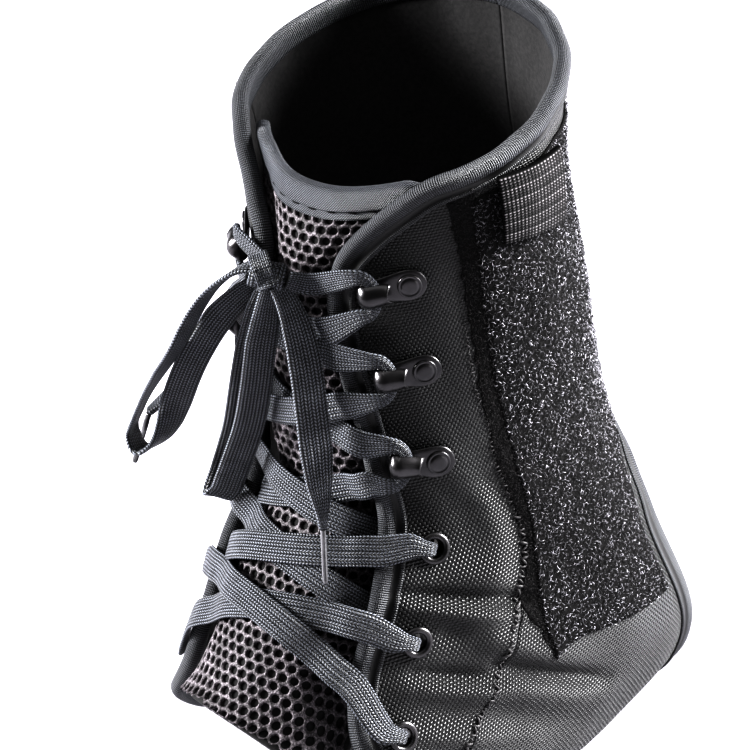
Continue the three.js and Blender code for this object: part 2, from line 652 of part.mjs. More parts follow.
// A leg between two stations, over or under the first panel edge and always over the second.
function legSpots(from, to, crossing, side, underFirst, raised) {
  const start = [from.u * side, from.v];
  const middle = [0, crossing];
  const end = [-to.u * side, to.v];
  const vAt = (u) => {
    const a = ((u - middle[0]) * (u - end[0])) / ((start[0] - middle[0]) * (start[0] - end[0]));
    const b = ((u - start[0]) * (u - end[0])) / ((middle[0] - start[0]) * (middle[0] - end[0]));
    return a * start[1] + b * middle[1] + (1 - a - b) * end[1];
  };
  const edgeFrom = lacingEdgeAt(vAt(side * 30));
  const edgeTo = lacingEdgeAt(vAt(-side * 30));
  const firstEdge = underFirst ? legHeight.under : legHeight.over;
  const rows = [
    [side * edgeFrom, firstEdge], [side * edgeFrom * 0.83, firstEdge * 0.7], [side * edgeFrom * 0.66, 0],
    [side * edgeFrom * 0.33, 0], [0, 0], [-side * edgeTo * 0.33, 0], [-side * edgeTo * 0.66, 0],
    [-side * edgeTo * 0.83, legHeight.over * 0.7], [-side * edgeTo, legHeight.over],
  ];
  return rows.map(([u, h]) => {
    const v = vAt(u);
    const rest = Math.max(tongueOuter(Math.abs(u) - 4, v), tongueOuter(u, v)) + legHeight.onTongue;
    const lift = raised ? legHeight.raised * (1 - smooth(Math.abs(u), 18, 28)) : 0;
    const point = place(u, v, Math.max(h, rest + lift));
    const ahead = surface(u - side, vAt(u - side)).sub(surface(u + side, vAt(u + side)));
    return spotAt(point, slopes(u, v).normal.cross(ahead).normalize());
  });
}

// Half of the laced length, from a lowest eyelet up to the knot.
function strandSpots(startSide) {
  const spots = [];
  let side = startSide;
  lacingStations.forEach((station, i) => {
    const isFirst = i === 0;
    spots.push(...turnSpots(station, side, isFirst));
    const next = lacingStations[i + 1];
    if (!next) return;
    const shift = station.kind === 'hook' ? -0.2 : 0;
    const from = { u: station.kind === 'hook' ? 34 : station.u, v: station.v + shift };
    const to = { u: next.kind === 'hook' ? 34 : next.u, v: next.v + (next.kind === 'hook' ? 0.2 : 0) };
    const under = station.kind === 'eyelet' && !isFirst;
    spots.push(...legSpots(from, to, crossingV[i], side, under, startSide > 0));
    side = -side;
  });
  const end = new THREE.Vector3(side > 0 ? 5.0 : -8.2, side > 0 ? -26.0 : -24.6, 164.6);
  const before = place(side * 12, 1.06, 2.6);
  spots.push(spotAt(before, new THREE.Vector3(0, 0, 1), 6.5));
  spots.push(spotAt(end, new THREE.Vector3(0, 0, 1), 4.5));
  return spots;
}

function lacedLength() {
  const lowest = lacingStations[0];
  const { underTongue } = legHeight;
  const bar = [
    [59, -5.4, 4], [55, -10.0, 6], [45, underTongue, lace.width], [15, underTongue, lace.width],
  ];
  const wide = new THREE.Vector3(0, 0, 1);
  const halfBar = (side) => bar.map(([u, h, width]) => {
    const { alongV } = slopes(u * side, lowest.v);
    wide.copy(alongV).normalize();
    return spotAt(place(u * side, lowest.v, h), wide, width);
  });
  return ribbon(
    [...strandSpots(1).reverse(), ...halfBar(1), ...halfBar(-1).reverse(), ...strandSpots(-1)], 1,
  );
}

function freeLace(route, wide, bunchedEnds) {
  const spots = route.map((point, i) => {
    const ends = bunchedEnds.map((end) => Math.abs(i - (end ? route.length - 1 : 0)));
    const width = lerp(3.4, lace.width, smooth(Math.min(...ends), 0, 4));
    return spotAt(new THREE.Vector3(...point), wide, width);
  });
  return ribbon(spots, 1);
}

function agletGeometry({ from, to }) {
  const start = new THREE.Vector3(...from);
  const axis = new THREE.Vector3(...to).sub(start);
  const rod = new THREE.CylinderGeometry(agletRadius, agletRadius, axis.length(), 8);
  const upright = new THREE.Vector3(0, 1, 0);
  rod.applyQuaternion(new THREE.Quaternion().setFromUnitVectors(upright, axis.clone().normalize()));
  rod.translate(...start.addScaledVector(axis, 0.5).toArray());
  return rod;
}

// Assembly.
addMesh('tongue', sheet(tongueColumns, tongueRows, tonguePlace, tongueInner, tongueOuter), 'mesh');
addMesh('tongue_binding', tongueBinding(), 'tape');
const quarter = frontQuarter();
const rear = rearQuarter();
const edge = edgeBinding();
const patchFoot = panelOuter + patch.gap;
const pile = sheet(rearColumns, patch.rows, patchPlace, () => patchFoot, () => patchFoot + patch.thickness);
const keeperPlace = (a, b) => {
  const u = lerp(keeper.fromU, keeper.toU, a) + keeper.lean * b;
  return [u, lerp(keeper.topV, keeper.endV, b) + keeper.slant * a];
};
const keeperTop = (u, v, a, b) => keeperHeight(b) + keeper.thickness;
const tab = sheet(4, 6, keeperPlace, (u, v, a, b) => keeperHeight(b), keeperTop);
Object.entries(sides).forEach(([name, side]) => {
  addMesh(`front_quarter_${name}`, mirroredFor(quarter, side), 'nylon');
  addMesh(`rear_quarter_${name}`, mirroredFor(rear, side), 'nylon');
  addMesh(`edge_binding_${name}`, mirroredFor(edge, side), 'tape');
  addMesh(`loop_patch_${name}`, mirroredFor(pile, side), 'pile');
  addMesh(`strap_keeper_${name}`, mirroredFor(tab, side), 'webbing');
  lacingStations.forEach((station, i) => {
    const axes = stationAxes(station, side);
    const number = (i % 3) + 1;
    if (station.kind === 'eyelet') {
      stationMesh(`eyelet_${name}_${number}`, eyeletGeometry(), 'metal', axes);
      return;
    }
    stationMesh(`lace_hook_${name}_${number}`, hookGeometry(), 'metal', axes);
    stationMesh(`hook_rivet_${name}_${number}`, rivetGeometry(), 'metal', axes);
  });
});
addMesh('heel_binding', heelBinding(), 'tape');
addMesh('lace', lacedLength(), 'lace');
const knotShape = new THREE.SphereGeometry(1, 10, 7);
knotShape.scale(...knot.radii);
addMesh('bow_knot', knotShape, 'lace').position.set(...knot.centre);
addMesh('bow_loop_right', freeLace(bowLoopRight, new THREE.Vector3(0.75, 0.5, -0.43), [0, 1]), 'lace');
addMesh('bow_loop_left', freeLace(bowLoopLeft, new THREE.Vector3(1, 0, 0.3), [0, 1]), 'lace');
addMesh('lace_end_left', freeLace(laceEndLeft, new THREE.Vector3(1, 0, 0), [0, 1]), 'lace');
addMesh('lace_end_right', freeLace(laceEndRight, new THREE.Vector3(0.75, 0.5, -0.43), [0, 1]), 'lace');
Object.entries(aglets).forEach(([name, ends]) => addMesh(name, agletGeometry(ends), 'aglet'));

export default group;
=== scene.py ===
import math
import bmesh
import bpy
import numpy as np
from mathutils import Matrix, Vector


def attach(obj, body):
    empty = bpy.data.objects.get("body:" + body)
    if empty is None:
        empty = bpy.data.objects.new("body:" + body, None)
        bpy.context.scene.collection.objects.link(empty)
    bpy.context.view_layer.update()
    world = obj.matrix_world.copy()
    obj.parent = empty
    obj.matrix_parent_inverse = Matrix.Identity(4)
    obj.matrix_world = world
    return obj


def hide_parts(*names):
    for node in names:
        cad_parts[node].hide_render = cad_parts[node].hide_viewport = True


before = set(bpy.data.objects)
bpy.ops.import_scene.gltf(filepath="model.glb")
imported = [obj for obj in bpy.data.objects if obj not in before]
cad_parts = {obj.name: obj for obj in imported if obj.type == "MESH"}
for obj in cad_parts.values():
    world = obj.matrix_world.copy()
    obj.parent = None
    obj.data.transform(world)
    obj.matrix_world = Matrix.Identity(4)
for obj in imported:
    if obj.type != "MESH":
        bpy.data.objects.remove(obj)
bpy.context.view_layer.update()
scene = bpy.context.scene
mm = 0.001  # routes and tables below are in millimetres, meshes in metres
print("frame loaded:", len(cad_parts), "nodes")

cameraSet = {
    "azimuth": 47.85, "elevation": 32.52, "roll": -9.07,  # degrees
    "distance": 1815.21, "target": (-76.19, 69.91, 54.66),
    "focalPixels": 6956.67, "imageSide": 750, "sensor": 36.0,
}


def makeCamera(values):
    azimuth, elevation, roll = (math.radians(values[key]) for key in ("azimuth", "elevation", "roll"))
    back = Vector((math.sin(azimuth) * math.cos(elevation), -math.cos(azimuth) * math.cos(elevation),
                   math.sin(elevation)))
    level = Vector((math.cos(azimuth), math.sin(azimuth), 0))
    upright = back.cross(level)
    right = level * math.cos(roll) + upright * math.sin(roll)
    up = upright * math.cos(roll) - level * math.sin(roll)
    data = bpy.data.cameras.new("camera")
    data.sensor_width = values["sensor"]
    data.lens = values["focalPixels"] / values["imageSide"] * values["sensor"]
    data.clip_start, data.clip_end = 0.05, 50
    camera = bpy.data.objects.new("camera", data)
    scene.collection.objects.link(camera)
    place = (Vector(values["target"]) + back * values["distance"]) * mm
    camera.matrix_world = Matrix.Translation(place) @ Matrix((right, up, back)).transposed().to_4x4()
    scene.camera = camera


makeCamera(cameraSet)

# The brace's form: fanned oval sections, and the panels' outlines on them.
sectionTable = np.array([  # frontY frontZ backY backZ halfWidth widest frontRound backRound
    [-12.5, 183.5, 61.5, 198.5, 41.3, 0.47, 2.00, 2.0],
    [-19.5, 162.0, 59.4, 166.0, 37.2, 0.50, 1.81, 2.0],
    [-24.5, 137.0, 61.8, 128.0, 36.3, 0.50, 1.90, 2.0],
    [-26.5, 116.3, 63.6, 88.0, 36.2, 0.47, 2.09, 2.0],
    [-29.7, 102.0, 73.0, 52.0, 39.8, 0.52, 2.10, 2.1],
    [-41.7, 88.6, 82.3, 11.2, 42.0, 0.51, 2.27, 2.2],
    [-55.5, 72.8, 47.8, -2.0, 39.0, 0.50, 2.12, 2.4],
    [-65.0, 63.0, -4.5, -2.0, 38.7, 0.56, 1.95, 2.6],
    [-74.5, 60.0, -51.5, -2.0, 41.0, 0.58, 2.00, 2.8],
])
panelTable = np.array([  # frontU frontV rise seamU seamV
    [21.0, 0.85, 0.33, 65.0, 0.00],
    [19.5, 1.25, 0.14, 68.0, 0.95],
    [23.0, 1.90, 0.03, 71.0, 1.90],
    [27.5, 2.60, 0.00, 73.5, 2.60],
    [29.3, 3.20, 0.00, 74.0, 3.20],
    [30.2, 3.80, 0.00, 72.0, 3.80],
    [31.3, 4.40, 0.00, 70.0, 4.40],
    [33.4, 5.10, 0.00, 71.0, 5.00],
    [37.5, 5.80, 0.00, 74.5, 5.75],
    [43.0, 6.40, 0.00, 79.0, 6.40],
    [49.0, 6.80, -0.02, 84.0, 6.72],
    [58.0, 7.12, -0.08, 93.0, 6.98],
])
lastStation = len(panelTable) - 1
heelSet = {"middleV": 4.4, "halfAngle": 53.0, "halfHeight": 1.3, "firstStation": 2, "lastStation": 9,
           "soleEnd": 7.2, "degreesPerMm": 1.55, "sectionsPerMm": 1 / 38}
panelSet = {"inner": -0.8, "outer": 1.0, "seamHalfGap": 0.1, "backHalfGap": 0.05, "liftSpan": (3, 14),
            "frontGrid": (56, 170), "rearGrid": (84, 170), "eyeletHole": 2.9}
tongueSet = {
    "topV": 0.06, "dip": 0.14, "dipSpan": (38, 52), "endV": 7.3, "endSkew": 0.006,
    "middleOuter": -0.9, "coveredOuter": -3.1, "underLace": -5.8, "lowSpan": (2.9, 3.7),
    "thickness": 3.6, "pinch": 0.9, "pinchEnd": 0.4, "pinchFade": 0.68, "coverBefore": 10, "coverAfter": 1,
    "coverAtCollar": 14, "collarSpan": (0.3, 0.9), "coverAtEyelets": 10, "eyeletSpan": (3.0, 3.8),
    "widths": ((0, 53), (1.2, 50), (3, 50), (5, 48), (6.5, 50), (7.3, 52)),
}
wrinkleLines = (  # fromU fromV toU toV height width
    (46, 4.56, 68, 4.50, 0.50, 4.0),
    (39, 4.88, 71, 4.74, -1.70, 1.7),
    (43, 5.01, 70, 4.94, 1.70, 2.6),
    (52, 5.23, 61, 5.22, -1.00, 2.4),
    (60, 5.16, 88, 5.37, 1.70, 3.2),
    (72, 5.47, 102, 5.55, -2.00, 1.6),
    (74, 5.69, 106, 5.75, 1.50, 3.6),
    (53, 5.70, 74, 5.61, -1.50, 1.6),
    (54, 5.90, 82, 5.74, 1.20, 3.0),
    (62, 6.45, 92, 6.20, 1.10, 3.0),
    (63, 3.60, 63, 4.76, 0.90, 3.4),
    (69.5, 3.30, 69, 4.72, -0.70, 2.4),
)
rippleWaves = ((0.12, 0.21, 2.9, 0.0), (0.10, 0.33, -4.1, 1.3))  # height, pace along u and v, phase
mmPerDegree, mmPerSection = 0.62, 21.0


def blendTo(a, b, t):
    return a + (b - a) * t


def smooth(value, low, high):
    t = np.clip((value - low) / (high - low), 0, 1)
    return t * t * (3 - 2 * t)


def smoothRows(table, at):
    at = np.asarray(at, float)
    i = np.clip(np.floor(at).astype(int), 0, len(table) - 2)
    t = (at - i)[..., None]
    p1, p2 = table[i], table[i + 1]
    p0 = np.where((i > 0)[..., None], table[np.maximum(i - 1, 0)], 2 * p1 - p2)
    p3 = np.where((i < len(table) - 2)[..., None], table[np.minimum(i + 2, len(table) - 1)], 2 * p2 - p1)
    bend = 2 * p0 - 5 * p1 + 4 * p2 - p3
    twist = 3 * p1 - p0 - 3 * p2 + p3
    return 0.5 * (2 * p1 + (p2 - p0) * t + bend * t ** 2 + twist * t ** 3)


def surfacePoint(u, v):
    u, v = np.broadcast_arrays(np.asarray(u, float), np.asarray(v, float))
    frontY, frontZ, backY, backZ, halfWidth, widest, frontRound, backRound = np.moveaxis(
        smoothRows(sectionTable, v), -1, 0)
    cosine, sine = np.cos(np.radians(u)), np.sin(np.radians(u))
    power = 2 / np.where(cosine > 0, frontRound, backRound)
    across = np.abs(cosine) ** power
    depth = np.where(cosine > 0, widest * (1 - across), widest + (1 - widest) * across)
    return np.stack([halfWidth * np.sign(sine) * np.abs(sine) ** power,
                     blendTo(frontY, backY, depth), blendTo(frontZ, backZ, depth)], -1)


def unit(vectors):
    return vectors / np.maximum(np.linalg.norm(vectors, axis=-1, keepdims=True), 1e-12)


def surfaceSlopes(u, v):
    u, v = np.broadcast_arrays(np.asarray(u, float), np.asarray(v, float))
    alongU = surfacePoint(u + 0.5, v) - surfacePoint(u - 0.5, v)
    alongV = (surfacePoint(u, v + 0.01) - surfacePoint(u, v - 0.01)) / 0.02
    return alongU, alongV, unit(np.cross(alongV, alongU))


def placeOn(u, v, height):
    height = np.asarray(height, float)
    points = surfacePoint(u, v) + surfaceSlopes(u, v)[2] * height[..., None]
    points[..., 2] = np.maximum(points[..., 2], panelSet["outer"] - height)  # the sole lies flat
    return points


def frontPlace(s, k):
    frontU, frontV, rise, seamU, seamV = np.moveaxis(smoothRows(panelTable, k), -1, 0)
    hump = np.maximum(4 * s * (1 - s), 0) ** np.where(s > 0.5, 1.3, 0.7)
    return blendTo(frontU, seamU - panelSet["seamHalfGap"], s), blendTo(frontV, seamV, s) - rise * hump


def backEdge(k, margin):
    limit = 180 - panelSet["backHalfGap"] - (2 if margin else 0)
    first, last = heelSet["firstStation"], heelSet["lastStation"]
    halfHeight = heelSet["halfHeight"] + margin * heelSet["sectionsPerMm"]
    top, low = heelSet["middleV"] - halfHeight, heelSet["middleV"] + halfHeight
    turn = math.pi * ((k - first) / (last - first) - 0.5)
    reach = (heelSet["halfAngle"] + margin * heelSet["degreesPerMm"]) * np.cos(turn)
    u = np.where((k <= first) | (k >= last), limit, np.minimum(limit, 180 - reach))
    belowHeel = blendTo(low, heelSet["soleEnd"], (k - last) / (lastStation - last))
    v = np.where(k <= first, top * k / first,
                 np.where(k >= last, belowHeel, heelSet["middleV"] + halfHeight * np.sin(turn)))
    return u, v


def rearPlace(s, k, margin=0.0):
    row = smoothRows(panelTable, k)
    backU, backV = backEdge(np.asarray(k, float), margin)
    return blendTo(row[..., 3] + panelSet["seamHalfGap"], backU, s), blendTo(row[..., 4], backV, s)


outlineTop = frontPlace(np.linspace(0.62, 0.02, 40), np.zeros(40))
outlineSide = frontPlace(np.zeros(90), np.linspace(0, lastStation, 90))
outlineV = np.concatenate([outlineTop[1], outlineSide[1]])
outlineU = np.concatenate([outlineTop[0], outlineSide[0]])
outlineOrder = np.argsort(outlineV)


def lacingEdgeAt(v):
    return np.interp(v, outlineV[outlineOrder], outlineU[outlineOrder])


def tongueCover(v):
    edge = lacingEdgeAt(np.maximum(v, tongueSet["pinchEnd"]))
    atCollar = tongueSet["coverAtCollar"] * (1 - smooth(v, *tongueSet["collarSpan"]))
    atEyelets = tongueSet["coverAtEyelets"] * smooth(v, *tongueSet["eyeletSpan"])
    before = tongueSet["coverBefore"] + atCollar + atEyelets
    return edge - before, edge + tongueSet["coverAfter"]


def tonguePinch(v):
    return np.clip((tongueSet["pinchFade"] - v) / (tongueSet["pinchFade"] - tongueSet["pinchEnd"]), 0, 1)


def tongueOuter(u, v):
    start, end = tongueCover(v)
    covered = smooth(np.abs(u), start, end)
    low = blendTo(tongueSet["coveredOuter"], tongueSet["underLace"], smooth(v, *tongueSet["lowSpan"]))
    return blendTo(tongueSet["middleOuter"], low, covered) - tongueSet["pinch"] * tonguePinch(v)


def tongueInner(u, v):
    return tongueOuter(u, v) - tongueSet["thickness"] + 2 * tongueSet["pinch"] * tonguePinch(v)


def tongueTop(u):
    return tongueSet["topV"] + tongueSet["dip"] * smooth(np.abs(u), *tongueSet["dipSpan"])


def tongueHalfAngle(v):
    at, width = np.array(tongueSet["widths"]).T
    return np.interp(v, at, width)


def wrinkleHeight(u, v):
    total = sum(height * np.sin(byU * u + byV * v + phase) for height, byU, byV, phase in rippleWaves)
    for fromU, fromV, toU, toV, height, width in wrinkleLines:
        runU, runV = (toU - fromU) * mmPerDegree, (toV - fromV) * mmPerSection
        offU, offV = (u - fromU) * mmPerDegree, (v - fromV) * mmPerSection
        length = runU ** 2 + runV ** 2
        t = np.clip((offU * runU + offV * runV) / length, 0, 1)
        gap = (offU - t * runU) ** 2 + (offV - t * runV) ** 2
        total = total + height * np.exp(-gap / width ** 2) * np.sin(math.pi * np.clip(t, 0.06, 0.94)) ** 0.5
    return total


# Mesh making.
def newMesh(name, points, faces):
    mesh = bpy.data.meshes.new(name)
    rows = faces.tolist() if isinstance(faces, np.ndarray) else [[int(i) for i in face] for face in faces]
    mesh.from_pydata((np.asarray(points, float) * mm).tolist(), [], rows)
    mesh.polygons.foreach_set("use_smooth", [True] * len(mesh.polygons))
    return mesh


def newObject(name, points, faces, material, uv=None):
    mesh = newMesh(name, points, faces)
    if uv is not None:
        layer = mesh.uv_layers.new(name="UVMap")
        loops = np.zeros(len(mesh.loops), int)
        mesh.loops.foreach_get("vertex_index", loops)
        layer.data.foreach_set("uv", np.asarray(uv, np.float32)[loops].ravel())
    mesh.materials.append(material)
    mesh.update()
    obj = bpy.data.objects.new(name, mesh)
    scene.collection.objects.link(obj)
    return obj


def settle(obj, slot, *nodes):
    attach(obj, "root")
    if nodes:
        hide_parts(*nodes)
    return obj


def gridFaces(rows, columns, flip=False):
    index = np.arange(rows * columns).reshape(rows, columns)
    quads = np.stack([index[:-1, :-1], index[1:, :-1], index[1:, 1:], index[:-1, 1:]], -1).reshape(-1, 4)
    return quads[:, ::-1] if flip else quads


def tubeFaces(rows, columns):
    index = np.arange(rows * columns).reshape(rows, columns)
    ahead = np.roll(index, -1, axis=1)
    walls = np.stack([index[:-1], ahead[:-1], ahead[1:], index[1:]], -1).reshape(-1, 4).tolist()
    return walls + [index[0, ::-1].tolist(), index[-1].tolist()]


def closedSheet(outer, inner, keep=None):
    rows, columns = outer.shape[:2]
    count = rows * columns
    quads = gridFaces(rows, columns)
    if keep is not None:
        quads = quads[keep]
    edges = np.stack([quads, np.roll(quads, -1, axis=1)], -1).reshape(-1, 2).tolist()
    seen = {tuple(edge) for edge in edges}
    border = np.array([(a, b) for a, b in edges if (b, a) not in seen])
    walls = np.stack([border[:, 1], border[:, 0], border[:, 0] + count, border[:, 1] + count], -1)
    return np.concatenate([outer.reshape(-1, 3), inner.reshape(-1, 3)]), np.concatenate(
        [quads, quads[:, ::-1] + count, walls])


def unwrapGrid(points):
    rows, columns = points.shape[:2]
    mesh = bpy.data.meshes.new("flat")
    mesh.from_pydata(points.reshape(-1, 3).tolist(), [], gridFaces(rows, columns).tolist())
    mesh.uv_layers.new(name="UVMap")
    obj = bpy.data.objects.new("flat", mesh)
    scene.collection.objects.link(obj)
    bpy.context.view_layer.objects.active = obj
    obj.select_set(True)
    bpy.ops.object.mode_set(mode="EDIT")
    bpy.ops.mesh.select_all(action="SELECT")
    bpy.ops.uv.unwrap(method="CONFORMAL", margin=0.0)
    bpy.ops.object.mode_set(mode="OBJECT")
    loops = np.zeros(len(mesh.loops), int)
    mesh.loops.foreach_get("vertex_index", loops)
    values = np.zeros(len(mesh.loops) * 2)
    mesh.uv_layers[0].data.foreach_get("uv", values)
    uv = np.zeros((rows * columns, 2))
    uv[loops] = values.reshape(-1, 2)
    bpy.data.objects.remove(obj)
    bpy.data.meshes.remove(mesh)
    grid = uv.reshape(rows, columns, 2)
    real = np.linalg.norm(np.cross(points[1:, :-1] - points[:-1, :-1], points[:-1, 1:] - points[:-1, :-1]),
                          axis=-1).sum()
    a, b = grid[1:, :-1] - grid[:-1, :-1], grid[:-1, 1:] - grid[:-1, :-1]
    drawn = np.abs(a[..., 0] * b[..., 1] - a[..., 1] * b[..., 0]).sum()
    uv = uv * math.sqrt(real / drawn)
    flat = points.reshape(-1, 3)
    rise = np.linalg.lstsq(np.c_[uv, np.ones(len(uv))], flat[:, 2], rcond=None)[0][:2]
    rise = rise / np.linalg.norm(rise)
    return np.stack([uv @ np.array([rise[1], -rise[0]]), uv @ rise], -1)  # second axis runs upwards


sides = {"left": 1, "right": -1}


def mirrored(points, sign):
    return np.asarray(points) * np.array([sign, 1.0, 1.0])


def addBoth(name, points, faces, material, uv, slot, node):
    made = {}
    for side, sign in sides.items():
        turned = faces if sign > 0 else faces[:, ::-1]
        nodes = [f"{node}_{side}"] if node else []
        spots = mirrored(points, sign)
        made[side] = addSolid(f"{name}_{side}", spots, turned, material, slot, *nodes, uv=uv)
    return made


def editMesh(obj, *steps):
    work = bmesh.new()
    work.from_mesh(obj.data)
    for step in steps:
        step(work)
    work.to_mesh(obj.data)
    work.free()
    return obj


def mergeWithin(distance):
    return lambda work: bmesh.ops.remove_doubles(work, verts=work.verts, dist=distance)


def dropLoose(work):
    bmesh.ops.delete(work, geom=[v for v in work.verts if not v.link_faces], context="VERTS")


def dropThin(work):
    bmesh.ops.dissolve_degenerate(work, edges=work.edges, dist=1e-7)


def faceOutwards(work):
    bmesh.ops.recalc_face_normals(work, faces=work.faces)


def addSolid(name, points, faces, material, slot, *nodes, uv=None):
    piece = newObject(name, points, faces, material, uv)
    return settle(editMesh(piece, dropLoose, faceOutwards), slot, *nodes)


# Material making. A node's tree is found from the socket or shader that it joins.
def grey(value, warm=0.0):
    return (value * (1 + warm), value * 0.98, value * (1.05 - warm))


def startMaterial(name, tone, roughness, **sockets):
    material = bpy.data.materials.new(name)
    material.use_nodes = True
    tree = material.node_tree
    shader = tree.nodes["Principled BSDF"]
    shader.inputs["Base Color"].default_value = (*grey(tone), 1)
    shader.inputs["Roughness"].default_value = roughness
    for socket, value in sockets.items():
        shader.inputs[socket.replace("_", " ")].default_value = value
    return material, tree, shader


def calc(operation, *values):
    tree = next(value.id_data for value in values if not isinstance(value, (int, float)))
    node = tree.nodes.new("ShaderNodeMath")
    node.operation = operation
    for socket, value in zip(node.inputs, values):
        if isinstance(value, (int, float)):
            socket.default_value = value
        else:
            tree.links.new(value, socket)
    return node.outputs[0]


def sineOf(value, pace):
    return calc("SINE", calc("MULTIPLY", value, pace))


def uvParts(tree):
    source = tree.nodes.new("ShaderNodeUVMap")
    source.uv_map = "UVMap"
    parts = tree.nodes.new("ShaderNodeSeparateXYZ")
    tree.links.new(source.outputs[0], parts.inputs[0])
    return parts.outputs[0], parts.outputs[1]


def noiseOn(tree, scale, detail=3.0, roughness=0.55, stretch=None):
    source = tree.nodes.new("ShaderNodeTexCoord")
    noise = tree.nodes.new("ShaderNodeTexNoise")
    noise.inputs["Scale"].default_value = scale
    noise.inputs["Detail"].default_value = detail
    noise.inputs["Roughness"].default_value = roughness
    spot = source.outputs["Object"]
    if stretch:
        mapping = tree.nodes.new("ShaderNodeMapping")
        mapping.inputs["Scale"].default_value = stretch
        tree.links.new(spot, mapping.inputs["Vector"])
        spot = mapping.outputs[0]
    tree.links.new(spot, noise.inputs["Vector"])
    return noise.outputs["Fac"]


def uneven(height, scale, share, base):
    return calc("MULTIPLY", height, calc("MULTIPLY_ADD", noiseOn(height.id_data, scale), share, base))


def paint(shader, factor, *stops):
    tree = shader.id_data
    ramp = tree.nodes.new("ShaderNodeValToRGB")
    points = ramp.color_ramp.elements
    while len(points) < len(stops):
        points.new(0.5)
    for point, (at, colour) in zip(points, stops):
        point.position = at
        point.color = (*colour, 1)
    tree.links.new(factor, ramp.inputs[0])
    tree.links.new(ramp.outputs[0], shader.inputs["Base Color"])


def addBump(shader, height, distance):
    tree = shader.id_data
    bump = tree.nodes.new("ShaderNodeBump")
    bump.inputs["Distance"].default_value = distance
    bump.inputs["Strength"].default_value = 1.0
    tree.links.new(height, bump.inputs["Height"])
    tree.links.new(bump.outputs[0], shader.inputs["Normal"])


# Finishes, with yarn sizes in millimetres of the cloth and reliefs in metres. In the nylon, tapes and lace
# the dark valley and low tones are painted shade in the hollows, and the pale crown and high tones are
# painted highlight on the raised yarn.
nylonSet = {"yarnLong": 1.14, "yarnTall": 0.85, "relief": 0.00030, "valley": 0.003, "middle": 0.0075,
            "crown": 0.020, "matt": 0.56, "shine": 0.28}
tapeSet = {"ribPitch": 0.56, "twillPitch": 0.60, "twillSlant": 0.9, "threadPitch": 0.45, "relief": 0.00022,
           "low": 0.005, "high": 0.105, "twillHigh": 0.19, "ridgeEnd": 1.8, "foldStart": 3.1}
laceSet = {"column": 0.80, "stitch": 0.86, "relief": 0.00028, "low": 0.004, "high": 0.20}
fibreTones = ((0.0, 0.006), (0.25, 0.040), (0.55, 0.16), (0.8, 0.36), (1.0, 0.65))


def weaveHeight(tree, long, tall):
    u, v = uvParts(tree)
    across = calc("DIVIDE", v, tall)
    shift = calc("FRACT", calc("MULTIPLY", calc("FLOOR", across), 0.5))
    along = calc("FRACT", calc("ADD", calc("DIVIDE", u, long), shift))
    crown, ridge = sineOf(along, math.pi), sineOf(calc("FRACT", across), math.pi)
    return calc("MULTIPLY", calc("POWER", crown, 0.7), calc("POWER", ridge, 0.8))


def nylonWeave():
    matt = nylonSet["matt"]
    material, tree, shader = startMaterial("nylonWeave", 0.03, matt, Specular_IOR_Level=0.5,
                                           Sheen_Weight=0.12, Sheen_Roughness=0.3)
    height = weaveHeight(tree, nylonSet["yarnLong"], nylonSet["yarnTall"])
    # Painted shade and highlight: the weave's valleys are coloured darker and its crowns lighter, by their
    # height.
    paint(shader, uneven(height, 700, 0.9, 0.5), (0.35, grey(nylonSet["valley"])),
          (0.70, grey(nylonSet["middle"])), (1.0, grey(nylonSet["crown"], 0.02)))
    tree.links.new(calc("MULTIPLY_ADD", height, nylonSet["shine"] - matt, matt), shader.inputs["Roughness"])
    addBump(shader, height, nylonSet["relief"])
    return material


def ribbedTape(name, pitch, slant, high, channelled):
    material, tree, shader = startMaterial(name, 0.03, 0.5)
    along, across = uvParts(tree)
    ribs = sineOf(calc("MULTIPLY_ADD", across, slant, along), 2 * math.pi / pitch)
    threads = sineOf(across, 2 * math.pi / tapeSet["threadPitch"])
    height = calc("MULTIPLY_ADD", threads, 0.15, calc("MULTIPLY_ADD", ribs, 0.4, 0.5))
    # The channel loses its ribs and so takes the dark low tone, as painted shade in the concave channel.
    if channelled:  # smooth in the channel between the sewn ridge and the fold
        ridge = calc("MULTIPLY", calc("LESS_THAN", across, tapeSet["ridgeEnd"]), 0.7)
        beyond = calc("MAXIMUM", calc("SUBTRACT", across, tapeSet["foldStart"]), 0.0)
        height = calc("MULTIPLY", height, calc("MAXIMUM", ridge, calc("SMOOTH_MIN", beyond, 1.0, 0.1)))
    # Painted shade and highlight: the rib crowns are coloured pale and the grooves between them dark.
    paint(shader, uneven(height, 160, 0.6, 0.68), (0.25, grey(tapeSet["low"])), (0.95, grey(high, -0.06)))
    addBump(shader, height, tapeSet["relief"])
    return material


def laceBraid():
    material, tree, shader = startMaterial("laceBraid", 0.02, 0.45, Specular_IOR_Level=0.5)
    across, along = uvParts(tree)
    place = calc("DIVIDE", across, laceSet["column"])
    inside = calc("FRACT", place)
    odd = calc("FRACT", calc("MULTIPLY", calc("FLOOR", place), 0.5))
    turn = calc("MULTIPLY_ADD", odd, 4.0, -1.0)  # -1 or 1 by column
    slant = calc("MULTIPLY", calc("MULTIPLY", calc("SUBTRACT", inside, 0.5), 0.8), turn)
    phase = calc("ADD", calc("DIVIDE", along, laceSet["stitch"]), slant)
    loop, rib = sineOf(calc("FRACT", phase), math.pi), sineOf(inside, math.pi)
    height = calc("MULTIPLY", calc("POWER", loop, 0.6), calc("POWER", rib, 0.7))
    # Painted shade and highlight: the braid's raised loops are coloured pale and its hollows dark.
    paint(shader, uneven(height, 300, 0.6, 0.7), (0.44, grey(laceSet["low"])),
          (0.93, grey(laceSet["high"], -0.07)))
    addBump(shader, height, laceSet["relief"])
    return material


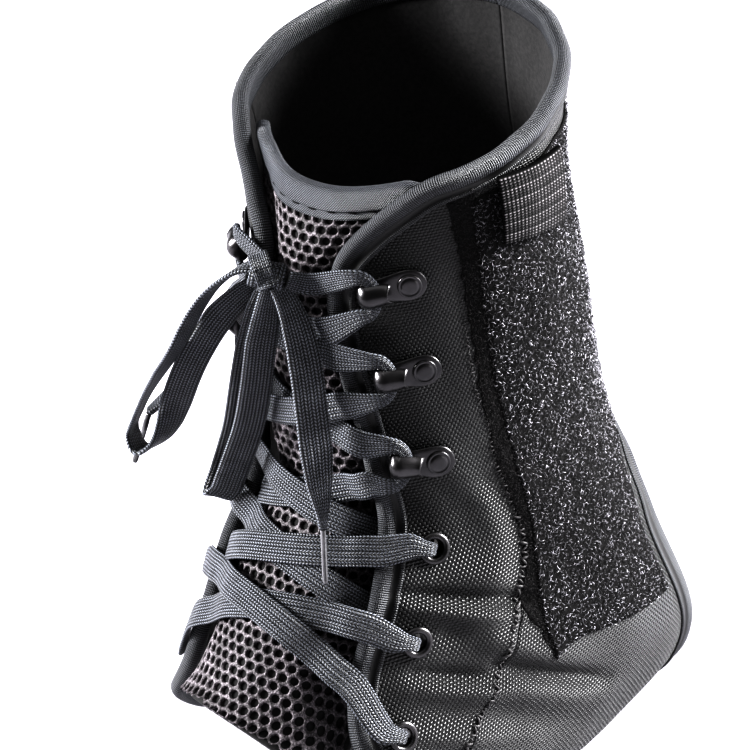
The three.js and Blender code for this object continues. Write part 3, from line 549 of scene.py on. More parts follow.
def clothNoise(name, low, high, scale, roughness, relief, sheen=0.03, gloss=0.5):
    material, tree, shader = startMaterial(name, low, roughness, Sheen_Weight=sheen,
                                           Specular_IOR_Level=gloss)
    fine = noiseOn(tree, scale, 4, 0.65)
    paint(shader, fine, (0.3, grey(low)), (0.7, grey(high, 0.04)))
    addBump(shader, fine, relief)
    return material


def pileFibre():
    material, tree, shader = startMaterial("pileFibre", 0.03, 0.5, Specular_IOR_Level=0.3)
    shade = tree.nodes.new("ShaderNodeAttribute")
    shade.attribute_name = "fibreShade"
    paint(shader, shade.outputs["Fac"], *((at, grey(tone)) for at, tone in fibreTones))
    return material


def blackNickel():
    material, tree, shader = startMaterial("blackNickel", 0.06, 0.24, Metallic=1.0, Coat_Weight=0.6,
                                           Coat_Roughness=0.24)
    worn = noiseOn(tree, 420, 4)
    tree.links.new(calc("MULTIPLY_ADD", worn, 0.20, 0.28), shader.inputs["Roughness"])
    paint(shader, noiseOn(tree, 130), (0.3, grey(0.028)), (0.75, grey(0.07, 0.03)))
    addBump(shader, worn, 0.00002)
    return material


def agletFilm():
    material, tree, shader = startMaterial("agletFilm", 0.09, 0.16, Coat_Weight=1.0, Coat_Roughness=0.05)
    wound = noiseOn(tree, 260, stretch=(1, 1, 0.25))
    paint(shader, wound, (0.3, grey(0.02)), (0.7, grey(0.16)))
    addBump(shader, wound, 0.00008)
    return material


def webbingRows():
    material, tree, shader = startMaterial("keeperWebbing", 0.1, 0.6, Specular_IOR_Level=0.12)
    across, along = uvParts(tree)
    rib, warp = (calc("ABSOLUTE", sineOf(value, math.pi)) for value in (along, across))
    row = calc("FLOOR", along)
    dotted = calc("MULTIPLY_ADD", calc("FRACT", calc("MULTIPLY", row, 0.5)), 0.6, 0.55)
    gaps = calc("MULTIPLY", dotted, calc("SUBTRACT", 1.0, warp))
    faint = calc("MULTIPLY_ADD", calc("FRACT", calc("MULTIPLY", row, 0.25)), -0.3, 1.0)
    rows = calc("MULTIPLY", calc("POWER", rib, 0.8), calc("SUBTRACT", 1.0, gaps))
    tone = uneven(calc("MULTIPLY", rows, faint), 260, 0.6, 0.7)
    # Painted shade and highlight: the gaps between warps are coloured near black and the rib crowns pale.
    paint(shader, tone, (0.40, grey(0.0006)), (0.66, grey(0.014, 0.02)), (0.95, grey(0.23, 0.04)))
    addBump(shader, tone, 0.00015)
    return material


def netStrand():
    material, tree, shader = startMaterial("netStrand", 0.1, 0.6)
    speck = noiseOn(tree, 1900, 2, 0.6)
    tone = calc("MULTIPLY_ADD", noiseOn(tree, 420, 2), 0.35, calc("MULTIPLY", speck, 0.8))
    paint(shader, tone, (0.42, (0.016, 0.014, 0.015)), (0.58, (0.080, 0.070, 0.077)),
          (0.72, (0.235, 0.212, 0.230)))
    addBump(shader, speck, 0.00030)
    return material


finish = {
    "nylon": nylonWeave(),
    "tape": ribbedTape("edgeTape", tapeSet["ribPitch"], 0.0, tapeSet["high"], True),
    "twill": ribbedTape("twillTape", tapeSet["twillPitch"], tapeSet["twillSlant"], tapeSet["twillHigh"],
                        False),
    "lace": laceBraid(),
    "lining": clothNoise("brushedLining", 0.008, 0.024, 900, 0.9, 0.00010),
    "strand": netStrand(),
    "shadow": clothNoise("padBacking", 0.007, 0.018, 800, 0.95, 0.00010),
    "pileBase": clothNoise("pileBase", 0.003, 0.014, 1200, 0.95, 0.00020, 0.0, 0.2),
    "webbing": webbingRows(),
    "border": clothNoise("frayedBorder", 0.0035, 0.014, 1500, 0.9, 0.00030, 0.0, 0.2),
    "fuzz": clothNoise("borderFuzz", 0.005, 0.06, 2500, 0.8, 0.00010, 0.0, 0.2),
    "thread": clothNoise("seamThread", 0.012, 0.10, 2500, 0.5, 0.00006),
    "fibre": pileFibre(),
    "metal": blackNickel(),
    "aglet": agletFilm(),
}
print("finishes made:", len(finish))


# Ribbons: places, width directions, widths and thicknesses run along a smooth curve.
def smoothCurve(points, steps):
    points = np.asarray(points, float)
    padded = np.vstack([2 * points[0] - points[1], points, 2 * points[-1] - points[-2]])
    p0, p1, p2, p3 = padded[:-3], padded[1:-2], padded[2:-1], padded[3:]
    gap0, gap1, gap2 = (np.maximum(np.linalg.norm(b - a, axis=1) ** 0.5, 1e-4)[:, None]
                        for a, b in ((p0, p1), (p1, p2), (p2, p3)))
    slope1 = ((p1 - p0) / gap0 - (p2 - p0) / (gap0 + gap1) + (p2 - p1) / gap1) * gap1
    slope2 = ((p2 - p1) / gap1 - (p3 - p1) / (gap1 + gap2) + (p3 - p2) / gap2) * gap1
    t = (np.arange(steps) / steps)[None, :, None]
    a, b, c, d = (x[:, None, :] for x in (p1, p2, slope1, slope2))
    curve = ((2 * t ** 3 - 3 * t ** 2 + 1) * a + (t ** 3 - 2 * t ** 2 + t) * c
             + (-2 * t ** 3 + 3 * t ** 2) * b + (t ** 3 - t ** 2) * d)
    return np.vstack([curve.reshape(-1, 3), points[-1:]])


ribbonSection = np.array((  # shares of half the width and of half the thickness, round the lace
    (-1.0, 0.0), (-0.93, 0.62), (-0.72, 0.95), (-0.36, 1.0), (0.0, 0.9), (0.36, 1.0), (0.72, 0.95),
    (0.93, 0.62), (1.0, 0.0), (0.93, -0.62), (0.72, -0.95), (0.36, -1.0), (0.0, -0.9), (-0.36, -1.0),
    (-0.72, -0.95), (-0.93, -0.62)))


def alongLength(points):
    return np.concatenate([[0], np.cumsum(np.linalg.norm(np.diff(points, axis=0), axis=1))])


def ribbonMesh(spots, steps, fullWidth, arch=0.0):
    points = np.array([spot[0] for spot in spots], float)
    wides = [np.array(spots[0][1], float)]
    for spot in spots[1:]:
        wide = np.array(spot[1], float)
        wides.append(wide if wide @ wides[-1] >= 0 else -wide)
    at = np.linspace(0, len(spots) - 1, (len(spots) - 1) * steps + 1)
    knots = np.arange(len(spots))
    curve = smoothCurve(points, steps)
    tangent = unit(np.gradient(curve, axis=0))
    wide = np.stack([np.interp(at, knots, column) for column in np.array(wides).T], -1)
    wide = unit(wide - (wide * tangent).sum(1, keepdims=True) * tangent)
    thick = unit(np.cross(tangent, wide))
    half = np.interp(at, knots, [spot[2] / 2 for spot in spots])
    deep = np.interp(at, knots, [spot[3] / 2 for spot in spots])
    x, y = ribbonSection.T
    bow = arch * (1 - x ** 2)
    rings = (curve[:, None] + wide[:, None] * (half[:, None] * x)[..., None]
             + thick[:, None] * (deep[:, None] * y + bow)[..., None])
    rows, columns = rings.shape[:2]
    lengthwise = np.repeat(alongLength(curve)[:, None], columns, 1)
    crosswise = np.repeat((x * fullWidth / 2)[None] + 40, rows, 0)  # braid columns start clear of zero
    uv = np.stack([crosswise, lengthwise], -1).reshape(-1, 2)
    return rings.reshape(-1, 3), tubeFaces(rows, columns), uv, curve


# Bow: each free stretch follows its route from the knot.
bowSet = {"width": 7.6, "thickness": 1.2, "steps": 5, "bunching": 0.9, "agletRadius": 0.8,
          "agletTurns": 20}
bowRoutes = {
    "bow_loop_right": [
        (-1.8, -25.9, 165.4), (-6.5, -28.7, 165.6), (-10.5, -31.9, 163.2), (-13.9, -34.7, 159.7),
        (-16.7, -36.9, 155.4), (-19.2, -38.8, 150.6), (-21.6, -40.2, 145.8), (-24.8, -40.6, 141.2),
        (-28.3, -40.6, 136.7), (-31.8, -40.3, 132.3), (-35.3, -40.1, 127.8), (-38.6, -40.0, 123.2),
        (-41.5, -40.3, 118.4), (-43.2, -41.8, 113.3), (-39.8, -42.9, 109.6), (-35.9, -40.1, 112.0),
        (-33.2, -38.5, 116.6), (-31.0, -37.7, 121.8), (-28.6, -37.2, 126.9), (-26.2, -36.6, 131.9),
        (-23.7, -35.6, 136.9), (-21.0, -34.4, 141.7), (-18.1, -33.1, 146.4), (-14.9, -31.7, 150.8),
        (-11.3, -30.2, 154.9), (-7.4, -28.6, 158.7), (-3.1, -27.0, 161.9)],
    "bow_loop_left": [
        (1.1, -28.3, 163.2), (-0.3, -29.3, 157.5), (-1.7, -30.0, 151.9), (-3.3, -30.7, 146.3),
        (-4.8, -31.1, 140.7), (-6.3, -31.4, 135.1), (-8.0, -31.7, 129.5), (-9.9, -31.9, 123.9),
        (-12.1, -32.2, 118.5), (-14.6, -32.6, 113.2), (-17.2, -32.9, 108.0), (-19.8, -33.3, 102.8),
        (-22.8, -33.2, 97.8), (-25.4, -33.7, 95.8), (-25.4, -30.2, 100.3), (-23.4, -29.1, 105.7),
        (-20.9, -29.0, 111.0), (-18.3, -29.3, 116.2), (-16.0, -29.6, 121.6), (-14.0, -29.7, 127.1),
        (-12.2, -29.5, 132.6), (-10.3, -29.3, 138.2), (-8.4, -29.1, 143.7), (-6.5, -28.8, 149.2),
        (-4.5, -28.4, 154.7), (-2.3, -27.9, 160.1)],
    "lace_end_left": [
        (2.1, -27.4, 163.0), (3.8, -27.1, 159.4), (5.3, -27.1, 155.7), (6.6, -27.4, 151.9),
        (7.6, -27.8, 148.1), (8.5, -28.4, 144.2), (9.3, -29.1, 140.4), (9.9, -29.8, 136.5),
        (10.5, -30.6, 132.7), (11.1, -31.3, 128.8), (11.6, -32.0, 124.9), (12.1, -32.6, 121.0),
        (12.5, -33.3, 117.1), (12.9, -34.0, 113.2), (13.2, -34.6, 109.2), (13.5, -35.3, 105.3),
        (13.7, -36.0, 101.4)],
    "lace_end_right": [
        (-7.9, -26.9, 160.2), (-11.1, -26.6, 156.9), (-14.2, -26.3, 153.6), (-17.2, -26.1, 150.2),
        (-20.2, -26.1, 146.8), (-23.1, -26.2, 143.2), (-25.8, -26.6, 139.6), (-28.3, -27.2, 135.8),
        (-30.8, -27.8, 132.0), (-33.1, -28.6, 128.2), (-35.4, -29.6, 124.4), (-38.0, -31.0, 120.8),
        (-40.9, -32.8, 117.8), (-43.5, -35.1, 114.9)],
}
# Width directions and widths, by place along the route.
bowWidthways = {
    "bow_loop_right": ((0, (0.02, -1.0, 0.04)), (8, (0.02, -1.0, 0.04)), (11, (0.36, -0.92, 0.10)),
                       (13.5, (0.44, -0.88, 0.10)), (18, (-0.50, -0.43, 0.75)), (26, (-0.50, -0.43, 0.75))),
    "bow_loop_left": ((0, (-0.58, -0.70, 0.43)),),
    "lace_end_left": ((0, (-0.40, -0.90, 0.15)),),
    "lace_end_right": ((0, (-0.92, 0.36, -0.16)),)}
bowWidths = {
    "bow_loop_right": ((0, 4.6), (2, 7.0), (3, 7.6), (23, 7.6), (25, 6.0), (26, 4.6)),
    "bow_loop_left": ((0, 4.6), (2, 7.2), (3, 7.8), (22, 7.8), (24, 6.4), (25, 4.6)),
    "lace_end_left": ((0, 4.8), (3, 7.8), (5, 8.6), (11, 8.6), (13, 7.0), (14, 5.2), (15, 3.2), (16, 1.8)),
    "lace_end_right": ((0, 4.6), (2, 7.4), (9, 7.4), (11, 5.4), (12, 3.6), (13, 1.8))}
agletEnds = {"left": ((13.48, -35.75, 101.47), (17.17, -41.18, 89.61)),
             "right": ((-43.54, -35.29, 114.69), (-47.15, -39.66, 101.27))}
agletProfile = (  # shares of the length and of the radius
    (0.0, 0.5), (0.02, 0.93), (0.05, 1.0), (0.12, 0.9), (0.16, 1.0), (0.45, 0.97), (0.8, 1.0), (0.93, 0.98),
    (0.985, 0.85), (1.0, 0.55))


def alongStops(stops, at):
    values = np.array([value for place, value in stops], float)
    places = [place for place, value in stops]
    if values.ndim == 1:
        return np.interp(at, places, values)
    return np.array([np.interp(at, places, column) for column in values.T])


def makeAglet(side):
    start, end = (np.array(point) for point in agletEnds[side])
    axis = unit(end - start)
    first = unit(np.cross(axis, (0.3, 1, 0.1)))
    second = np.cross(axis, first)
    length = np.linalg.norm(end - start)
    turns = np.linspace(0, 2 * math.pi, bowSet["agletTurns"], endpoint=False)
    rings = np.array([[start + axis * length * t + bowSet["agletRadius"] * r * (
        math.cos(a) * first * 1.08 + math.sin(a) * second * 0.92) for a in turns] for t, r in agletProfile])
    faces = tubeFaces(*rings.shape[:2])
    name, points = f"aglet_tip_{side}", rings.reshape(-1, 3)
    return addSolid(name, points, faces, finish["aglet"], "aglet", f"aglet_{side}")


def makeBow():
    for name, route in bowRoutes.items():
        spots = []
        for i, point in enumerate(route):
            width = alongStops(bowWidths[name], i)
            bunched = 1 - min(width / bowSet["width"], 1)
            spots.append((point, alongStops(bowWidthways[name], i), width,
                          bowSet["thickness"] * (1 + bowSet["bunching"] * bunched)))
        points, faces, uv, curve = ribbonMesh(spots, bowSet["steps"], bowSet["width"])
        cord = addSolid(name + "_braid", points, faces, finish["lace"], "lace", name, uv=uv)
        isLoop = name.startswith("bow")
        aglet = [] if isLoop else [makeAglet(name.split("_")[-1])]


makeBow()
print("bow and lace ends made")


# Lacing stations up the front, from the lowest: eyelets, then hooks.
stationList = (("eyelet", 59, 6.5), ("eyelet", 48.2, 5.37), ("eyelet", 45.4, 4.26),
               ("hook", 53, 2.945), ("hook", 50, 1.935), ("hook", 46, 1.10))
lacingSet = {"width": 7.6, "thickness": 1.2, "crossings": (5.45, 4.76, 3.9, 2.5, 1.65), "over": 3.4,
             "under": -3.3, "onTongue": 1.6, "raised": 1.6, "raisedSpan": (18, 28), "bedStep": 4,
             "edgeU": 30, "underTongue": -10.9, "barV": 6.5, "hookU": 34, "hookV": 0.2, "steps": 5,
             "knotPlace": (12.0, 1.06, 2.6),
             "knotEnds": {1: (4.2, -25.9, 164.0), -1: (-8.6, -24.9, 163.1)}}


def stationAxes(station, sign):
    u, v = station[1:]
    alongU, _, normal = surfaceSlopes(u, v)
    inward = -unit(alongU - normal * (alongU @ normal))
    up = np.cross(inward, normal)
    return [mirrored(vector, sign) for vector in (placeOn(u, v, 0.0), inward, normal, up)]


def turnSpots(station, sign, fromInside):
    centre, inward, normal, up = stationAxes(station, sign)
    if station[0] == "eyelet":
        outside = [(6.8, 3.9, 6.4, 1.2), (3.6, 4.2, 4.2, 1.5), (1.1, 3.9, 3.4, 1.8)]
        bore = [(0.8, 1.6, 2.8, 1.9), (0.9, -1.6, 2.8, 1.9)]
        inside = [(0.8, -3.2, 3.2, 1.8), (2.8, -3.6, 4.0, 1.4), (6.5, -3.3, 6.4, 1.2)]
        rows = bore[::-1] + outside[::-1] if fromInside else outside + bore + inside
        return [(centre + inward * a + normal * h, up, w, t) for a, h, w, t in rows]
    rows = [(13.2, -5.4, 3.3, 4.6, 1.3), (10.2, -4.7, 3.6, 3.2, 1.9), (8.0, 0.0, 3.8, 2.8, 2.1),
            (10.2, 4.7, 3.6, 3.2, 1.9), (13.2, 5.4, 3.3, 4.6, 1.3)]
    ahead = [(-1, 0.1), (-0.7, 0.7), (0, 1), (0.7, 0.7), (1, 0.1)]
    return [(centre + inward * a + up * b + normal * h, np.cross(normal, inward * c + up * d), w, t)
            for (a, b, h, w, t), (c, d) in zip(rows, ahead)]


def legSpots(start, end, crossing, sign, underFirst, raised):
    fit = np.polyfit([start[0] * sign, 0, -end[0] * sign], [start[1], crossing, end[1]], 2)
    vAt = lambda u: float(np.polyval(fit, u))
    edgeStart, edgeEnd = (float(lacingEdgeAt(vAt(way * lacingSet["edgeU"]))) for way in (sign, -sign))
    first = lacingSet["under"] if underFirst else lacingSet["over"]
    starting = ((1, first), (0.83, first * 0.7), (0.66, 0), (0.33, 0))
    ending = ((0.33, 0), (0.66, 0), (0.83, lacingSet["over"] * 0.7), (1, lacingSet["over"]))
    rows = [(share * edgeStart * sign, h) for share, h in starting] + [(0.0, 0)]
    rows += [(-share * edgeEnd * sign, h) for share, h in ending]
    spots = []
    for u, h in rows:
        v = vAt(u)
        beds = [float(tongueOuter(at, v)) for at in (abs(u) - lacingSet["bedStep"], u)]
        bed = max(beds) + lacingSet["onTongue"]
        if raised:
            bed += lacingSet["raised"] * (1 - float(smooth(abs(u), *lacingSet["raisedSpan"])))
        normal = surfaceSlopes(u, v)[2]
        ahead = surfacePoint(u - sign, vAt(u - sign)) - surfacePoint(u + sign, vAt(u + sign))
        spots.append((placeOn(u, v, np.array(max(h, bed))), np.cross(normal, unit(ahead)),
                      lacingSet["width"], lacingSet["thickness"]))
    return spots


def strandSpots(startSign):
    sign, spots = startSign, []
    for i, station in enumerate(stationList):
        spots += turnSpots(station, sign, i == 0)
        if i == len(stationList) - 1:
            break
        ahead = stationList[i + 1]
        start, end = ((lacingSet["hookU"], place[2] + nudge) if place[0] == "hook" else place[1:]
                      for place, nudge in ((station, -lacingSet["hookV"]), (ahead, lacingSet["hookV"])))
        underFirst = station[0] == "eyelet" and i > 0
        spots += legSpots(start, end, lacingSet["crossings"][i], sign, underFirst, startSign > 0)
        sign = -sign
    flat = (0, 0, 1)
    u, v, height = lacingSet["knotPlace"]
    spots.append((placeOn(sign * u, v, np.array(height)), flat, 6.5, 1.2))
    spots.append((np.array(lacingSet["knotEnds"][sign]), flat, 4.5, 1.5))
    return spots


def halfBar(sign):
    low, wide, v = lacingSet["underTongue"], lacingSet["width"], lacingSet["barV"]
    rows = ((59, -5.4, 4.0), (55, -10.0, 6.0), (45, low, wide), (15, low, wide))
    return [(placeOn(u * sign, v, np.array(h)), unit(surfaceSlopes(u * sign, v)[1]), w,
             lacingSet["thickness"]) for u, h, w in rows]


def makeLacing():
    spots = strandSpots(1)[::-1] + halfBar(1) + halfBar(-1)[::-1] + strandSpots(-1)
    points, faces, uv, curve = ribbonMesh(spots, lacingSet["steps"], lacingSet["width"])
    addSolid("laced_braid", points, faces, finish["lace"], "lace", "lace", uv=uv)
    print("laced length:", round(alongLength(curve)[-1]), "mm")


makeLacing()


# Knot: the ribbon bunched and wound across a crossed core.
knotSet = {"centre": (-1.2, -27.1, 164.3), "axis": (0.77, 0.54, -0.33), "outlook": (0.62, -0.57, 0.54),
           "thickness": 1.5, "rings": 13, "steps": 4, "arch": 0.5}
knotTurns = (  # tilt, width, radius, shifts along the axis and upwards
    (0, 8.4, 3.2, 0.0, 0.0), (34, 5.0, 3.9, -0.6, 1.1), (-58, 4.6, 3.5, 1.6, -0.8))


def makeKnot():
    centre, outlook = np.array(knotSet["centre"]), unit(np.array(knotSet["outlook"]))
    points, faces, uv, start = [], [], [], 0
    for tilt, width, radius, aside, upward in knotTurns:
        spin = Matrix.Rotation(math.radians(tilt), 3, Vector(outlook))
        axis = unit(np.array(spin @ Vector(knotSet["axis"])))
        above = np.cross(outlook, axis)
        middle = centre + np.array(knotSet["axis"]) * aside + above * upward
        spots = [(middle + radius * (math.cos(a) * outlook + math.sin(a) * above), axis, width,
                  knotSet["thickness"]) for a in np.linspace(0, 2 * math.pi, knotSet["rings"])]
        wind = ribbonMesh(spots, knotSet["steps"], lacingSet["width"], knotSet["arch"])
        points.append(wind[0])
        faces += [[i + start for i in face] for face in wind[1]]
        uv.append(wind[2])
        start += len(wind[0])
    addSolid("bow_wrap", np.concatenate(points), faces, finish["lace"], "lace", "bow_knot",
             uv=np.concatenate(uv))


makeKnot()
print("lacing and knot made")


# Panels: fine woven sheets, wrinkled in the bend of the brace.
def clothLift(u, v):
    return wrinkleHeight(u, v) * smooth(surfacePoint(u, v)[..., 2], *panelSet["liftSpan"])


def onCloth(u, v, height):
    return placeOn(u, v, panelSet["outer"] + clothLift(u, v) + height)


def lineInner(obj, material, outerCount):
    obj.data.materials.append(material)
    kinds = np.zeros(len(obj.data.polygons), int)
    kinds[outerCount:2 * outerCount] = 1
    obj.data.polygons.foreach_set("material_index", kinds)


def makePanel(name, node, locate, grid, holes):
    s, k = np.meshgrid(np.linspace(0, 1, grid[0]), np.linspace(0, lastStation, grid[1]))
    u, v = locate(s, k)
    lift = clothLift(u, v)
    outer, inner = placeOn(u, v, panelSet["outer"] + lift), placeOn(u, v, panelSet["inner"] + lift)
    corners = outer.reshape(-1, 3)[gridFaces(*outer.shape[:2])].mean(1)
    keep = np.ones(len(corners), bool)
    for station in holes:
        centre, _, normal, _ = stationAxes(station, 1)
        away = corners - centre
        away = away - (away @ normal)[:, None] * normal
        keep &= np.linalg.norm(away, axis=1) > panelSet["eyeletHole"]
    points, faces = closedSheet(outer, inner, keep)
    made = addBoth(name, points, faces, finish["nylon"], np.tile(unwrapGrid(outer), (2, 1)), "nylon", node)
    for panel in made.values():
        lineInner(panel, finish["lining"], int(keep.sum()))


makePanel("eyelet_panel", "front_quarter", frontPlace, panelSet["frontGrid"], stationList[:3])
makePanel("rear_panel", "rear_quarter", rearPlace, panelSet["rearGrid"], ())
print("panels made")


# Folded tapes: path in surface places, section rows of reach, share from outer to inner face, height.
tapePathSet = {"step": 0.9, "wayPasses": 6, "pathPasses": 4, "joinPasses": 60, "joinSpan": 12.0,
               "edgeGap": 0.15, "gap": 0.1, "heelScale": (1.12, 1, 0.6), "crestPoint": 10,
               "rearStart": 0.9995, "soleShare": 0.5, "rear": 110, "across": 90, "down": 240, "sole": 60,
               "heel": 160, "top": 140}
tapeSection = np.array([
    (-5.45, 0, 0.05), (-5.40, 0, 0.38), (-5.18, 0, 0.66), (-4.82, 0, 0.78), (-4.45, 0, 0.66),
    (-4.10, 0, 0.42), (-3.60, 0, 0.28), (-3.00, 0, 0.30), (-2.45, 0, 0.55), (-1.90, 0, 0.92),
    (-1.25, 0, 1.22), (-0.55, 0, 1.32), (0.25, 0.06, 1.20), (0.90, 0.20, 0.90), (1.32, 0.38, 0.50),
    (1.46, 0.55, 0.0), (1.32, 0.72, -0.45), (0.75, 0.92, -0.80), (-0.20, 1, -0.95), (-1.8, 1, -0.75),
    (-3.4, 1, -0.60), (-4.1, 1, -0.50), (-4.25, 1, -0.08), (-2.2, 1, 0.10), (-2.2, 0, -0.10),
])
tongueTapeSection = np.array([  # a sewn hem below the fold, with a groove between
    (-7.40, 0, 0.04), (-7.32, 0, 0.18), (-6.60, 0, 0.24), (-5.75, 0, 0.20), (-5.45, 0, 0.06),
    (-5.25, 0, 0.12), (-5.10, 0, 0.46), (-4.70, 0, 0.60), (-3.50, 0, 0.66), (-2.20, 0, 0.76),
    (-1.00, 0, 0.86), (-0.30, 0, 0.86), (0.30, 0.10, 0.78), (0.80, 0.25, 0.55), (1.05, 0.45, 0.15),
    (1.00, 0.65, -0.20), (0.60, 0.90, -0.55), (-0.20, 1, -0.62), (-2.0, 1, -0.50), (-4.2, 1, -0.40),
    (-4.35, 1, -0.06), (-2.3, 1, 0.08), (-2.3, 0, -0.08),
])


def evenPath(u, v, spacing):
    line = surfacePoint(u, v)
    along = alongLength(line)
    at = np.linspace(0, along[-1], max(int(along[-1] / spacing), 8))
    return np.interp(at, along, u), np.interp(at, along, v)


def softened(values, passes):
    for _ in range(passes):
        between = 0.25 * values[:-2] + 0.5 * values[1:-1] + 0.25 * values[2:]
        values = np.concatenate([values[:1], between, values[-1:]])
    return values


def tapeRings(u, v, section, outerFace, innerFace, gap):
    along = unit(softened(np.gradient(surfacePoint(u, v), axis=0), tapePathSet["wayPasses"]))
    alongU, alongV, normal = surfaceSlopes(u, v)
    beyond = unit(np.cross(along, normal))
    uu, vv, uv = (alongU ** 2).sum(1), (alongV ** 2).sum(1), (alongU * alongV).sum(1)
    bu, bv = (beyond * alongU).sum(1), (beyond * alongV).sum(1)
    scale = 1 / (uu * vv - uv ** 2)
    du, dv = (bu * vv - bv * uv) * scale, (bv * uu - bu * uv) * scale
    reach, share, lift = section.T
    atU, atV = u[:, None] + du[:, None] * reach, v[:, None] + dv[:, None] * reach
    outer, inner = outerFace(atU, atV), innerFace(atU, atV)
    return placeOn(atU, atV, outer + (inner - outer) * share + lift + gap * (1 - 2 * share))


def addTape(name, node, rings, material, sign=1):
    rows, columns = rings.shape[:2]
    lengthwise = np.repeat(alongLength(rings[:, tapePathSet["crestPoint"]])[:, None], columns, 1)
    crosswise = np.repeat(alongLength(rings[rows // 2])[None], rows, 0)
    addSolid(name, mirrored(rings.reshape(-1, 3), sign), tubeFaces(rows, columns), material, "tape", node,
             uv=np.stack([lengthwise, crosswise], -1).reshape(-1, 2))


clothOuter = lambda u, v: panelSet["outer"] + clothLift(u, v)
clothInner = lambda u, v: panelSet["inner"] + clothLift(u, v)


def edgePath():
    rear, across, down, sole = (tapePathSet[key] for key in ("rear", "across", "down", "sole"))
    shares, lowest = np.linspace(0, 1, across), float(lastStation)
    parts = [rearPlace(np.linspace(tapePathSet["rearStart"], 0, rear), np.zeros(rear)),
             frontPlace(shares[::-1], np.zeros(across)),
             frontPlace(np.zeros(down), np.linspace(0, lastStation, down)),
             frontPlace(shares, np.full(across, lowest)),
             rearPlace(np.linspace(0, tapePathSet["soleShare"], sole), np.full(sole, lowest))]
    return [np.concatenate([part[i] for part in parts]) for i in (0, 1)]


def heelPath():
    k = np.linspace(heelSet["lastStation"] - 1, heelSet["firstStation"], tapePathSet["heel"])[:-1]
    nearU, nearV = backEdge(k, 0)
    top = heelSet["middleV"] - heelSet["halfHeight"]
    return np.concatenate([nearU, [180], 360 - nearU[::-1]]), np.concatenate([nearV, [top], nearV[::-1]])


def tongueTopPath(inset, spacing):
    half = float(tongueHalfAngle(tongueSet["topV"])) - inset
    u = np.linspace(half, -half, tapePathSet["top"])
    return evenPath(u, tongueTop(u), spacing)


def makeTapes():
    step, gap, joinPasses = (tapePathSet[key] for key in ("step", "gap", "joinPasses"))
    u, v = edgePath()
    seamAt = alongLength(surfacePoint(u, v))[tapePathSet["rear"] - 1]
    u, v = (softened(values, tapePathSet["pathPasses"]) for values in evenPath(u, v, step))
    join = np.exp(-(alongLength(surfacePoint(u, v)) - seamAt) ** 2 / tapePathSet["joinSpan"] ** 2)
    u, v = (blendTo(values, softened(values, joinPasses), join) for values in (u, v))  # eased at the collar
    rings = tapeRings(u, v, tapeSection, clothOuter, clothInner, tapePathSet["edgeGap"])
    for side, sign in sides.items():
        addTape(f"edge_tape_{side}", f"edge_binding_{side}", rings, finish["tape"], sign)
    flat = tapeSection * np.array(tapePathSet["heelScale"])
    rings = tapeRings(*evenPath(*heelPath(), step), flat, clothOuter, clothInner, gap)
    addTape("heel_tape", "heel_binding", rings, finish["tape"])
    rings = tapeRings(*tongueTopPath(0, step), tongueTapeSection, tongueOuter, tongueInner, gap)
    addTape("tongue_tape", "tongue_binding", rings, finish["twill"])


makeTapes()
print("tapes made")


# Geometry Nodes helpers.
def startTree(name, **inputs):
    tree = bpy.data.node_groups.new(name, "GeometryNodeTree")
    tree.interface.new_socket("Geometry", in_out="INPUT", socket_type="NodeSocketGeometry")
    tree.interface.new_socket("Geometry", in_out="OUTPUT", socket_type="NodeSocketGeometry")
    for label, (kind, value) in inputs.items():
        socket = tree.interface.new_socket(label, in_out="INPUT", socket_type="NodeSocket" + kind)
        if value is not None:
            socket.default_value = value
    return tree, tree.nodes.new("NodeGroupInput"), tree.nodes.new("NodeGroupOutput")


def addNode(tree, kind, links=None, values=None, **settings):
    node = tree.nodes.new(kind)
    for key, value in settings.items():
        setattr(node, key, value)
    for key, source in (links or {}).items():
        tree.links.new(source, node.inputs[key])
    for key, value in (values or {}).items():
        node.inputs[key].default_value = value
    return node


def runTree(name, base, tree, **inputs):
    modifier = base.modifiers.new("grow", "NODES")
    modifier.node_group = tree
    for item in tree.interface.items_tree:
        if item.item_type == "SOCKET" and item.in_out == "INPUT" and item.name in inputs:
            modifier[item.identifier] = inputs[item.name]
    view = bpy.context.evaluated_depsgraph_get()
    mesh = bpy.data.meshes.new_from_object(base.evaluated_get(view), depsgraph=view)
    mesh.name = name
    base.modifiers.remove(modifier)
    bpy.data.objects.remove(base)
    obj = bpy.data.objects.new(name, mesh)
    scene.collection.objects.link(obj)
    return obj


def endTree(tree, geometry, dress, target):
    real = addNode(tree, "GeometryNodeRealizeInstances", {"Geometry": geometry})
    dressed = addNode(tree, "GeometryNodeSetMaterial", {"Geometry": real.outputs[0], "Material": dress})
    tree.links.new(dressed.outputs[0], target.inputs[0])
    return tree


def shareGrid(columns, rows):
    return np.meshgrid(np.linspace(0, 1, columns), np.linspace(0, 1, rows))


# Loop patch: a base sheet with looped fibres standing on it, thrown at random.
pileSet = {"density": 1.7e6, "tilt": 0.8, "small": 0.6, "large": 1.25, "seed": 4, "shadeSeed": 11,
           "height": 0.54, "yarn": 0.08, "spread": 0.45, "baseFoot": 0.05, "baseTop": 0.60,
           "grid": (46, 70), "topStation": 0.36, "tipStation": 7.4, "rearStation": 5.9, "margin": 8.0}
patchStarts = np.array([  # station, and share of the panel's width before the pile
    (0.36, -0.008), (1.2, 0.012), (2.3, 0.010), (2.9, 0.048), (3.4, 0.088), (4.2, 0.092), (4.9, 0.062),
    (5.6, 0.061), (6.1, 0.077), (6.6, 0.084), (7.0, 0.120), (7.4, 0.180),
])


def patchPlace(a, b):
    low = blendTo(pileSet["tipStation"], pileSet["rearStation"], a ** 0.8)
    k = blendTo(pileSet["topStation"], low, b)
    return rearPlace(blendTo(np.interp(k, *patchStarts.T), 1, a), k, pileSet["margin"])


